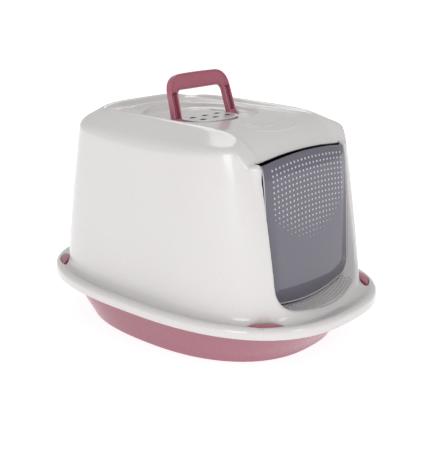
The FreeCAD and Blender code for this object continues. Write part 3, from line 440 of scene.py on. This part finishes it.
def visor_z(x, y):
    """Height of the roof channel's floor, which curves down to the doorway at the front."""
    ahead = np.clip(VISOR_START - y, 0.0, 0.99 * VISOR_RADIUS)
    share = np.clip(ahead / (VISOR_START - DOORWAY_BACK), 0.0, 1.0)
    arch = VISOR_ARCH * (x / DOORWAY_HALF) ** 2 * share ** 2
    return CHANNEL_Z - VISOR_RADIUS + np.sqrt(VISOR_RADIUS ** 2 - ahead ** 2) - arch


def channel_field(x, y, z):
    """The air in the roof channel."""
    side = np.abs(x) - DOORWAY_HALF - CHANNEL_DRAFT * (z - CHANNEL_Z)
    rear = y - CHANNEL_REAR - CHANNEL_DRAFT * (z - CHANNEL_Z)
    floor = visor_z(x, y) - z
    return soft_max(soft_max(side, rear, blend=0.020), floor, blend=0.006)


def lid_oval(x, y, inset):
    """Distance outside the vent lid's outline, drawn in by an inset."""
    half_x, front, rear, power = LID
    return oval(x, y - LID_CENTRE, half_x - inset, front - inset, rear - inset, power)


def scoop_field(x, y, z):
    """The air in the oval scoop round the handle, its slots and the filter well."""
    dish = soft_max(oval(x, y - SCOOP_CENTRE, *SCOOP) * SCOOP_SHARE, SCOOP_Z - z, blend=0.012)
    slot = np.maximum(np.abs(np.abs(x) - SLOT_X) - SLOT_HALF_WIDTH,
                      np.abs(y - SLOT_Y) - SLOT_HALF_LENGTH)
    well = lid_oval(x, y, inset=0.003)
    return np.minimum(dish, soft_min(np.maximum(slot, SLOT_Z - z), np.maximum(well, SLOT_Z - z),
                                     blend=0.001))


def doorway_field(x, y, z):
    """The air in front of the door."""
    sill = DOORWAY_FLOOR + DOORWAY_BOW * (x / (DOORWAY_HALF - DOORWAY_CORNER)) ** 2
    outline = soft_max(np.abs(x) - DOORWAY_HALF, sill - z, 1.17 * DOORWAY_CORNER)
    return np.maximum(outline, y - DOORWAY_BACK)


def lens_field(along, across, half_length, half_width):
    """Two equal arcs that meet in a point at each end."""
    radius = (half_length ** 2 + half_width ** 2) / (2.0 * half_width)
    lift = radius - half_width
    return np.maximum(np.hypot(along, across + lift), np.hypot(along, across - lift)) - radius


def to_clip(x, y, corner):
    """Coordinates along and across a clip; across grows outward."""
    place, turn = CLIPS[corner]
    along = (x - place[0]) * math.cos(turn) + (y - place[1]) * math.sin(turn)
    across = (y - place[1]) * math.cos(turn) - (x - place[0]) * math.sin(turn)
    return along, across


def clip_slots_field(x, y, z):
    """The air in the four slots, each wider than its clip on the inner side."""
    air = np.full_like(x, 1.0)
    for corner in CLIPS:
        along, across = to_clip(x, y, corner)
        air = np.minimum(air, lens_field(along, across + CLIP_SLOT_SHIFT, CLIP_SLOT_HALF_LENGTH,
                                         CLIP_SLOT_HALF_WIDTH))
    return np.maximum(air, CLIP_SLOT_Z - z)


def hood_field(x, y, z):
    """The whole hood: the doorway's edge is rounded below and crisp under the visor."""
    solid = soft_min(shell_field(x, y, z), flange_field(x, y, z), blend=0.014)
    solid = soft_max(solid, -channel_field(x, y, z), blend=0.008)
    solid = soft_max(solid, -scoop_field(x, y, z), blend=0.004)
    crisp = np.clip((z - CRISP_Z) / CRISP_RISE, 0.0, 1.0)
    solid = soft_max(solid, -doorway_field(x, y, z), mix(0.006, 0.0008, crisp))
    return soft_max(solid, -clip_slots_field(x, y, z), blend=0.0015)


# ----------------------------------------------------------------------------------------------
# Pieces
# ----------------------------------------------------------------------------------------------
def add_piece(name, mesh, material, body, nodes=()):
    """A finished mesh as an object that rides on a body and may stand for CAD nodes."""
    for face in mesh.polygons:
        face.use_smooth = True
    mesh.materials.append(material)
    piece = bpy.data.objects.new(name, mesh)
    bpy.context.scene.collection.objects.link(piece)
    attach(piece, body)
    if nodes:
        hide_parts(*nodes)
    return piece


def field_mesh(name, field, low, high, cell):
    """A closed mesh of a field's zero surface."""
    points, quads = surface_net(field, low, high, cell)
    points = settle(field, points, cell)
    mesh = bpy.data.meshes.new(name)
    mesh.from_pydata(points.tolist(), [], quads.tolist())
    mesh.validate()
    return mesh


def make_field_piece(name, field, low, high, cell, material, body, nodes=()):
    """A piece whose mesh is the surface of a field."""
    add_piece(name, field_mesh(name, field, low, high, cell), material, body, nodes)


def thicken(piece):
    """Give an open surface the moulding's wall, grown inward."""
    solidify = piece.modifiers.new("wall", "SOLIDIFY")
    solidify.thickness = WALL
    solidify.offset = -1.0
    solidify.use_even_offset = True
    solidify.thickness_clamp = 1.0


def sheet(name, rows):
    """A surface through equal rows of points."""
    width = len(rows[0])
    quads = [(row * width + spot, row * width + spot + 1, (row + 1) * width + spot + 1,
              (row + 1) * width + spot)
             for row in range(len(rows) - 1) for spot in range(width - 1)]
    mesh = bpy.data.meshes.new(name)
    mesh.from_pydata([point for row in rows for point in row], [], quads)
    return mesh


def loft_rings(name, rings, count=144):
    """A closed skin through superellipses (half_x, half_y, z, power), shut at both ends."""
    turn = np.arange(count) * 2.0 * math.pi / count
    points = []
    for half_x, half_y, z, power in rings:
        for angle in turn:
            c, s = math.cos(angle), math.sin(angle)
            points.append((half_x * math.copysign(abs(c) ** (2.0 / power), c),
                           half_y * math.copysign(abs(s) ** (2.0 / power), s), z))
    quads = []
    for ring in range(len(rings) - 1):
        for spot in range(count):
            following = (spot + 1) % count
            quads.append((ring * count + spot, ring * count + following,
                          (ring + 1) * count + following, (ring + 1) * count + spot))
    quads.append(tuple(range(count))[::-1])
    quads.append(tuple((len(rings) - 1) * count + spot for spot in range(count)))
    mesh = bpy.data.meshes.new(name)
    mesh.from_pydata(points, [], quads)
    return mesh


def tube_mesh(name, path, radius, sides=8):
    """A round rod along a path, shut at both ends."""
    points = []
    for spot, place in enumerate(path):
        before, after = path[max(spot - 1, 0)], path[min(spot + 1, len(path) - 1)]
        turn = (Vector(after) - Vector(before)).to_track_quat("Z", "Y")
        for side in range(sides):
            angle = side * 2.0 * math.pi / sides
            points.append(tuple(Vector(place) + turn @ Vector(
                (radius * math.cos(angle), radius * math.sin(angle), 0.0))))
    faces = [(spot * sides + side, spot * sides + (side + 1) % sides,
              (spot + 1) * sides + (side + 1) % sides, (spot + 1) * sides + side)
             for spot in range(len(path) - 1) for side in range(sides)]
    faces.append(tuple(range(sides))[::-1])
    faces.append(tuple((len(path) - 1) * sides + side for side in range(sides)))
    mesh = bpy.data.meshes.new(name)
    mesh.from_pydata(points, [], faces)
    return mesh


def dot_mesh(name, dots):
    """Small round domes, each given by its place, outward direction, radius and height."""
    points = []
    faces = []
    sides = 8
    for place, outward, radius, height in dots:
        turn = Vector(outward).to_track_quat("Z", "Y")
        first = len(points)
        for share, lift in ((1.0, -0.3), (0.72, 0.62)):
            for side in range(sides):
                angle = side * 2.0 * math.pi / sides
                spot = Vector((radius * share * math.cos(angle), radius * share * math.sin(angle),
                               height * lift))
                points.append(tuple(Vector(place) + turn @ spot))
        points.append(tuple(Vector(place) + turn @ Vector((0.0, 0.0, height))))
        for side in range(sides):
            following = (side + 1) % sides
            faces.append((first + side, first + following, first + sides + following,
                          first + sides + side))
            faces.append((first + sides + side, first + sides + following, first + 2 * sides))
        faces.append(tuple(first + side for side in range(sides))[::-1])
    mesh = bpy.data.meshes.new(name)
    mesh.from_pydata(points, [], faces)
    return mesh


def open_doorway(shape):
    """Take away the face behind the doorway and draw its edge straight; gives that edge."""
    near, above_foot, below_visor = 0.0012, HOOD_LOW.z + 0.005, 0.28
    back = []
    for face in shape.faces:
        middle = face.calc_center_median()
        if (abs(middle.y - DOORWAY_BACK) < near and abs(face.normal.y) > 0.6
                and abs(middle.x) < DOORWAY_HALF and middle.z > DOORWAY_FLOOR):
            back.append(face)
    bmesh.ops.delete(shape, geom=back, context="FACES")
    rim = [edge for edge in shape.edges if edge.is_boundary and edge.verts[0].co.z > above_foot]
    for vert in {vert for edge in rim for vert in edge.verts}:
        vert.co.y = DOORWAY_BACK
        if abs(vert.co.x) < DOORWAY_HALF - 0.0015 and vert.co.z > below_visor:
            vert.co.z = float(visor_z(vert.co.x, DOORWAY_BACK))
    return rim


def make_hood():
    """The hood as one thin shell, open below and at the doorway, with jambs turned inward."""
    mesh = field_mesh("hood_shell", hood_field, (-0.195, -0.275, 0.054), (0.195, 0.275, 0.348),
                      cell=0.003)
    shape = bmesh.new()
    shape.from_mesh(mesh)
    bmesh.ops.bisect_plane(shape, geom=shape.verts[:] + shape.edges[:] + shape.faces[:],
                           plane_co=(0.0, 0.0, HOOD_LOW.z), plane_no=(0.0, 0.0, 1.0),
                           clear_inner=True)
    rim = open_doorway(shape)
    jambs = [edge for edge in rim if max(vert.co.z for vert in edge.verts) < JAMB_TOP]
    grown = bmesh.ops.extrude_edge_only(shape, edges=jambs)["geom"]
    for vert in (item for item in grown if isinstance(item, bmesh.types.BMVert)):
        vert.co.y += JAMB_DEPTH
    bmesh.ops.recalc_face_normals(shape, faces=shape.faces)
    # The well's floor is painted black: the black filter under the grille, and painted shade in the
    # well.
    for face in shape.faces:
        middle = face.calc_center_median()
        in_well = lid_oval(middle.x, middle.y, inset=0.006) < 0.0
        face.material_index = int(in_well and abs(middle.z - SLOT_Z) < 0.003)
    shape.to_mesh(mesh)
    shape.free()
    hood = add_piece("hood_shell", mesh, HOOD_WHITE, "hood", ["hood"])
    mesh.materials.append(FILTER_BLACK_AND_PAINTED_SHADE)
    thicken(hood)


def hood_top(x, y, high):
    """Height of the hood's surface, looking down from a height above it."""
    levels = np.linspace(high, high - 0.045, 91)
    value = hood_field(x[..., None] + 0.0 * levels, y[..., None] + 0.0 * levels,
                       0.0 * x[..., None] + levels)
    below = np.maximum((value < 0.0).argmax(axis=-1), 1)[..., None]
    here = np.take_along_axis(value, below, -1)
    above = np.take_along_axis(value, below - 1, -1)
    share = above / np.maximum(above - here, 1e-9)
    return mix(levels[below - 1], levels[below], share)[..., 0]


def make_ripples():
    """Low concentric ridges on the channel's floor, in front of the handle and behind it."""
    half_width, height, stations = 0.0026, 0.0017, 40
    for number, (radius, side, span) in enumerate(RIPPLES):
        turn = np.linspace(-1.0, 1.0, stations + 1)[:, None] * math.asin(span)
        across = np.linspace(-1.0, 1.0, 9)[None, :] * side
        reach = radius + half_width * across
        ends = np.clip(4.0 - 4.0 * np.abs(turn) / math.asin(span), 0.0, 1.0)
        x, y = reach * np.sin(turn), side * reach * np.cos(turn)
        lift = height * ends * np.cos(across * math.pi / 2.0) - 0.0002
        rows = np.stack([x, y, hood_top(x, y, high=0.345) + lift], axis=-1).tolist()
        add_piece("roof_ripple_%d" % number, sheet("roof_ripple", rows), HOOD_WHITE, "hood")


# ----------------------------------------------------------------------------------------------
# Tray
# ----------------------------------------------------------------------------------------------
def tray_ring(z, inset):
    """The tray's wall at one height, drawn in by an inset."""
    return (FOOT_X - inset + SIDE_RISE * (z - FOOT_Z), FOOT_Y - inset + END_RISE * (z - FOOT_Z), z,
            FOOT_POWER + POWER_RISE * z)


def make_tray():
    """The bowl from its round-edged foot up to the rim, and down again inside."""
    rings = []
    for step in range(5):
        turn = step * math.pi / 8.0
        inset = FOOT_ROUND * (1.0 - math.sin(turn))
        rings.append((FOOT_X - inset, FOOT_Y - inset, FOOT_Z * (1.0 - math.cos(turn)), FOOT_POWER))
    rings += [tray_ring(z, inset=0.0) for z in (0.020, 0.035, 0.050, 0.064)]
    root_x, root_y, root_power = RIM_ROOT
    rings.append((root_x, root_y, 0.0680, root_power))
    for inset, z in ((0.001, 0.0685), (0.0, 0.0697), (0.001, 0.0708)):
        rings.append((TRAY_HIGH.x - inset, TRAY_HIGH.y - inset, z, FLANGE_POWER))
    mouth_x, mouth_y, mouth_power = RIM_MOUTH
    for inset, z in ((0.0005, 0.0710), (0.0012, 0.0704)):
        rings.append((mouth_x - inset, mouth_y - inset, z, mouth_power))
    rings += [tray_ring(z, WALL) for z in (0.064, 0.050, 0.035, 0.020, 0.008)]
    for inset, z in ((0.0045, 0.0038), (0.0085, WALL)):
        rings.append((FOOT_X - inset, FOOT_Y - inset, z, FOOT_POWER))
    add_piece("tray_bowl", loft_rings("tray_bowl", rings), TRAY_PINK, "tray", ["tray"])


# ----------------------------------------------------------------------------------------------
# Handle, its two cheeks, vent lid and clips
# ----------------------------------------------------------------------------------------------
def handle_field(x, y, z):
    """A leaning arch: two tapering legs, a bar with round corners, and a dished front."""
    pivot = JOINTS["handle_fold"]["pos_m"]
    deep = (y - pivot[1]) * math.cos(HANDLE_LEAN) - (z - pivot[2]) * math.sin(HANDLE_LEAN)
    up = (y - pivot[1]) * math.sin(HANDLE_LEAN) + (z - pivot[2]) * math.cos(HANDLE_LEAN)
    half = HANDLE_HALF - HANDLE_TAPER * up
    top = HANDLE_TOP - HANDLE_ARCH * (x / HANDLE_ARCH_X) ** 2
    outside = soft_max(np.abs(x) - half, up - top, blend=0.028)
    outside = soft_max(outside, -up - HANDLE_FEET, blend=0.004)
    inside = soft_max(np.abs(x) - half + HANDLE_LEG, up - BAR_LOW, blend=0.0105)
    outline = np.maximum(outside, -inside)
    # The front is dished inside a rim: shallow in the bar, deep in the legs, with a rib between.
    bar = np.maximum(deep + BAR_DISH, BAR_LOW - 0.001 - up)
    leg = np.maximum(np.maximum(deep - LEG_DISH, up - BAR_LOW + 0.003),
                     LEG_DISH_LOW - up)
    dish = np.maximum(outline + HANDLE_RIM, np.minimum(bar, leg))
    solid = soft_max(outline, np.abs(deep) - HANDLE_HALF_DEPTH, blend=0.0016)
    solid = soft_max(solid, -dish, blend=0.0010)
    pins = np.maximum(np.hypot(deep, up) - PIN_RADIUS, np.abs(np.abs(x) - PIN_X) - PIN_HALF_LENGTH)
    return np.minimum(solid, pins)


def cheeks_field(x, y, z):
    """The two ears of the hood that hold the handle's pins."""
    middle = JOINTS["handle_fold"]["pos_m"][1]
    ear = soft_max(np.abs(y - middle) - CHEEK_HALF_LENGTH, z - CHEEK_HIGH, blend=0.011)
    ear = soft_max(ear, np.abs(np.abs(x) - CHEEK_X) - CHEEK_HALF_WIDTH, blend=0.0014)
    return np.maximum(ear, CHEEK_LOW - z)


def grille_field(x, y, z):
    """The bars across the well's floor, over the filter."""
    half_pitch = GRILLE_PITCH / 2.0
    along = np.abs((y - LID_CENTRE + half_pitch) % GRILLE_PITCH - half_pitch)
    bar = np.maximum(GRILLE_PITCH / 4.0 - along, lid_oval(x, y, inset=0.0055))
    return np.maximum(bar, np.abs(z - SLOT_Z - 0.0012) - 0.0010)


def lid_field(x, y, z):
    """The vent lid: a plate with six oval holes and a skirt that sits in the well."""
    plate = np.maximum(soft_max(lid_oval(x, y, inset=0.0), z - LID_HIGH.z, blend=0.0022),
                       LID_HIGH.z - LID_PLATE - z)
    ring = lid_oval(x, y, inset=0.0035)
    skirt = np.maximum(np.maximum(ring, -ring - WALL), LID_LOW.z - z)
    solid = np.minimum(plate, np.maximum(skirt, z - LID_HIGH.z + 0.001))
    for hole_x, hole_y in LID_HOLES:
        beyond = np.maximum(np.abs(x - hole_x) - LID_HOLE_STRETCH, 0.0)
        hole = np.hypot(beyond, y - hole_y) - LID_HOLE_RADIUS
        solid = soft_max(solid, -hole, blend=0.0006)
    return solid


def make_vent_plate():
    """The lid, with the walls of its holes painted black as painted shade."""
    mesh = field_mesh("vent_plate", lid_field, (-0.052, -0.037, 0.3145), (0.052, 0.057, 0.327),
                      cell=0.0009)
    add_piece("vent_plate", mesh, HOOD_WHITE, "vent_lid", ["vent_lid"])
    mesh.materials.append(FILTER_BLACK_AND_PAINTED_SHADE)
    for face in mesh.polygons:
        inside = lid_oval(face.center.x, face.center.y, inset=0.0) < -0.006
        face.material_index = int(inside and abs(face.normal.z) < 0.7)


def clip_field(along, across, z):
    """A clip in its own frame: a domed lens on a flat stem, and its axle."""
    dome = 0.0016 * (along / CLIP_HALF_LENGTH) ** 2 + 0.0008 * (across / CLIP_HALF_WIDTH) ** 2
    lens = lens_field(along, across, CLIP_HALF_LENGTH, CLIP_HALF_WIDTH)
    head = np.maximum(soft_max(lens, z - (CLIP_TOP - dome), blend=0.0026), CLIP_LOW - z)
    half_length, half_width, half_height = CLIP_STEM
    stem = np.maximum(np.maximum(np.abs(along) - half_length, np.abs(across) - half_width),
                      np.abs(z - CLIP_STEM_Z) - half_height)
    axle = np.maximum(np.hypot(across, z - CLIP_AXLE_Z) - CLIP_AXLE_RADIUS,
                      np.abs(along) - CLIP_AXLE_HALF_LENGTH)
    return np.minimum(np.minimum(head, stem), axle)


def make_clip(corner):
    """One clip, meshed in its own frame and then turned and set on the rim."""
    mesh = field_mesh("clip_" + corner, clip_field, (-0.029, -0.009, 0.060), (0.029, 0.009, 0.082),
                      cell=0.0011)
    place, turn = CLIPS[corner]
    for vert in mesh.vertices:
        along, across = vert.co.x, vert.co.y
        vert.co.x = place[0] + along * math.cos(turn) - across * math.sin(turn)
        vert.co.y = place[1] + along * math.sin(turn) + across * math.cos(turn)
    add_piece("rim_clip_" + corner, mesh, ACCENT_PINK, "clip_" + corner,
              ["snap_clip_" + corner])


# ----------------------------------------------------------------------------------------------
# Door and the dots
# ----------------------------------------------------------------------------------------------
def door_low(x):
    """Height of the door's lower edge: a bowed foot between two round corners."""
    flat = DOOR_FOOT_Z + DOOR_FOOT_BOW * (min(abs(x), DOOR_FLAT) / DOOR_FLAT) ** 2
    corner = max(abs(x) - DOOR_FLAT, 0.0)
    return flat + DOOR_CORNER - math.sqrt(max(DOOR_CORNER ** 2 - corner ** 2, 0.0))


def door_high(x):
    """Height of the door's upper edge, which follows the visor."""
    return float(visor_z(x, DOORWAY_BACK)) - DOOR_TOP_GAP


def door_y(x, z):
    """The door's front: nearly upright above, swelling below, with its border turned back."""
    drop = max(DOOR_HEAD_Z - z, 0.0) / DOOR_FALL
    edge = DOOR_HEAD_Y - DOOR_SWELL * drop ** 0.6 + DOOR_CURL * math.exp(-drop / 0.03)
    bow = DOOR_BULGE * drop * (1.0 - (x / DOOR_HALF) ** 2)
    border = min(DOOR_HALF - abs(x), (z - door_low(x)) * 0.9, DOOR_BORDER) / DOOR_BORDER
    return edge - bow - DOOR_BORDER_DEPTH * max(border, 0.0) ** 0.8


def make_door():
    """The pane with a bead along its free edge, and a pin at each upper corner."""
    steps, corner_steps, rows = 24, 12, 44
    across = [DOOR_FLAT * (step / steps) for step in range(steps)]
    across += [DOOR_FLAT + DOOR_CORNER * math.sin(step * math.pi / (2.0 * corner_steps))
               for step in range(corner_steps + 1)]
    across = [-x for x in across[:0:-1]] + across
    columns = []
    for x in across:
        low, high = door_low(x), door_high(x)
        levels = [low + (high - low) * row / rows for row in range(rows + 1)]
        columns.append([(x, door_y(x, z), z) for z in levels][::-1])
    pane = add_piece("door_pane", sheet("door_pane", columns), SMOKE, "door",
                     ["door"])
    thicken(pane)
    foot = [column[-1] for column in columns]
    edge = columns[0][:-1] + foot + columns[-1][-2::-1]
    bead = tube_mesh("door_bead_painted_highlight", edge, DOOR_BEAD_RADIUS)
    # The bead takes the lighter colour as a painted highlight along the door's edge.
    add_piece("door_bead_painted_highlight", bead, PAINTED_HIGHLIGHT, "door")
    _, pin_y, pin_z = JOINTS["door_swing"]["pos_m"]
    for name, side in (("door_pin_left", -1.0), ("door_pin_right", 1.0)):
        pin = [(side * (DOOR_PIN_X + 0.0012 * step), pin_y, pin_z) for step in range(6)]
        add_piece(name, tube_mesh("door_pin", pin, DOOR_PIN_RADIUS), SMOKE, "door")


def make_door_dots():
    """Rows of dots that follow the door's arched head and fade out along a sagging line."""
    columns, rows, pitch_x, pitch_z = 20, 17, 0.0086, 0.0075
    margin, radius, height, fade, smallest = 0.010, 0.0019, 0.0006, 0.03, 0.15
    dots = []
    for column in range(columns):
        x = (column - (columns - 1) / 2.0) * pitch_x
        last = 0.168 + 0.030 * (x / 0.075) ** 2
        for row in range(rows):
            z = door_high(x) - margin - row * pitch_z
            size = min(1.0, (z - last) / fade)
            if size > smallest:
                slope = (door_y(x, z + 0.001) - door_y(x, z - 0.001)) / 0.002
                dots.append(((x, door_y(x, z), z), (0.0, -1.0, slope), radius * size ** 0.5,
                             height))
    # The dots take the lighter colour as a painted highlight.
    add_piece("door_dots_painted_highlight", dot_mesh("door_dots_painted_highlight", dots), PAINTED_HIGHLIGHT, "door")


def make_sill_dots():
    """The band of grip dots on the doorway's floor, from the door's foot to the flange."""
    columns, rows, pitch, reach = 31, 6, 0.0054, 0.082
    first_y, bow, radius, height = -0.2065, 0.016, 0.0018, 0.0010
    places = []
    for row in range(rows):
        for column in range(columns):
            x = (column - columns // 2) * pitch + pitch / 2.0 * (row % 2)
            y = first_y - row * pitch + bow * (x / 0.080) ** 2
            if abs(x) < reach:
                places.append((x, y))
    x, y = np.array(places).T
    dots = [(place, (0.0, 0.0, 1.0), radius, height)
            for place in np.stack([x, y, hood_top(x, y, high=0.105)], axis=-1).tolist()]
    # The dots are grey as painted shade of the doorway's recess.
    add_piece("sill_dots_painted_shade", dot_mesh("sill_dots_painted_shade", dots), SILL_DOTS_PAINTED_SHADE, "hood")


make_hood()
make_ripples()
make_tray()
make_field_piece("carry_handle", handle_field, (-0.077, -0.004, 0.310), (0.077, 0.038, 0.394),
                 0.0014, ACCENT_PINK, "handle", ["handle"])
make_field_piece("handle_cheeks", cheeks_field, (-0.079, -0.003, 0.318), (0.079, 0.019, 0.329),
                 0.0012, HOOD_WHITE, "hood")
make_field_piece("well_grille", grille_field, (-0.046, -0.031, 0.3035), (0.046, 0.051, 0.309),
                 0.0012, HOOD_WHITE, "hood")
make_vent_plate()
for corner in CLIPS:
    make_clip(corner)
make_door()
make_door_dots()
make_sill_dots()


# ----------------------------------------------------------------------------------------------
# Stage, lights and camera
# ----------------------------------------------------------------------------------------------
def make_floor():
    """A plain pale floor that glows a little, so that it reads as white."""
    mesh = bpy.data.meshes.new("floor")
    reach = 6.0
    corners = [(-reach, -reach, 0.0), (reach, -reach, 0.0), (reach, reach, 0.0),
               (-reach, reach, 0.0)]
    mesh.from_pydata(corners, [], [(0, 1, 2, 3)])
    floor = bpy.data.objects.new("floor", mesh)
    bpy.context.scene.collection.objects.link(floor)
    nodes = Nodes("floor")
    nodes.join(nodes.mix(nodes.noise(scale=3.0), (0.60, 0.60, 0.60), (0.62, 0.62, 0.62)),
               nodes.shader.inputs["Base Color"])
    nodes.shader.inputs["Roughness"].default_value = 0.7
    nodes.shader.inputs["Emission Color"].default_value = (1.0, 1.0, 1.0, 1.0)
    nodes.shader.inputs["Emission Strength"].default_value = 0.75
    mesh.materials.append(nodes.material)


def make_light(name, place, target, size, power):
    """A rectangular softbox that faces a target."""
    light = bpy.data.lights.new(name, "AREA")
    light.shape = "RECTANGLE"
    light.size, light.size_y = size
    light.energy = power
    lamp = bpy.data.objects.new(name, light)
    bpy.context.scene.collection.objects.link(lamp)
    lamp.location = place
    lamp.rotation_mode = "QUATERNION"
    lamp.rotation_quaternion = (Vector(target) - Vector(place)).to_track_quat("-Z", "Y")


def view_direction(azimuth, elevation):
    """The unit vector from the object towards a camera at that azimuth and elevation."""
    turn, lift = math.radians(azimuth), math.radians(elevation)
    return Vector((math.sin(turn) * math.cos(lift), -math.cos(turn) * math.cos(lift),
                   math.sin(lift)))


def make_camera():
    """A camera to the front left of the box and a little above it."""
    camera = bpy.data.cameras.new("camera")
    camera.lens = 65.0
    camera.sensor_width = 36.0
    camera.shift_x = 0.012
    camera.shift_y = -0.063
    rig = bpy.data.objects.new("camera", camera)
    bpy.context.scene.collection.objects.link(rig)
    back = view_direction(azimuth=-48.51, elevation=15.74)
    distance = 1.351
    rig.location = Vector((0.0, 0.0, 0.18)) + back * distance
    rig.rotation_mode = "QUATERNION"
    rig.rotation_quaternion = (-back).to_track_quat("-Z", "Y")
    bpy.context.scene.camera = rig


def make_world():
    """A white surround to look at, and a softer one to light the box."""
    world = bpy.data.worlds.new("studio")
    world.use_nodes = True
    tree = world.node_tree
    background = tree.nodes["Background"]
    background.inputs["Color"].default_value = (1.0, 1.0, 1.0, 1.0)
    ray = tree.nodes.new("ShaderNodeLightPath")
    level = tree.nodes.new("ShaderNodeMapRange")
    level.inputs["To Min"].default_value = 0.57
    level.inputs["To Max"].default_value = 1.05
    tree.links.new(ray.outputs["Is Camera Ray"], level.inputs["Value"])
    tree.links.new(level.outputs["Result"], background.inputs["Strength"])
    bpy.context.scene.world = world


CENTRE = (0.0, 0.0, 0.2)
make_floor()
make_world()
make_light("key", (-2.0, -0.75, 0.60), CENTRE, (0.7, 0.9), 9.0)
make_light("front", (-0.2, -1.9, 0.9), CENTRE, (0.5, 1.0), 5.0)
make_light("top", (0.8, 0.9, 1.9), CENTRE, (1.0, 1.0), 8.0)
make_camera()
bpy.context.scene.view_settings.view_transform = "Standard"
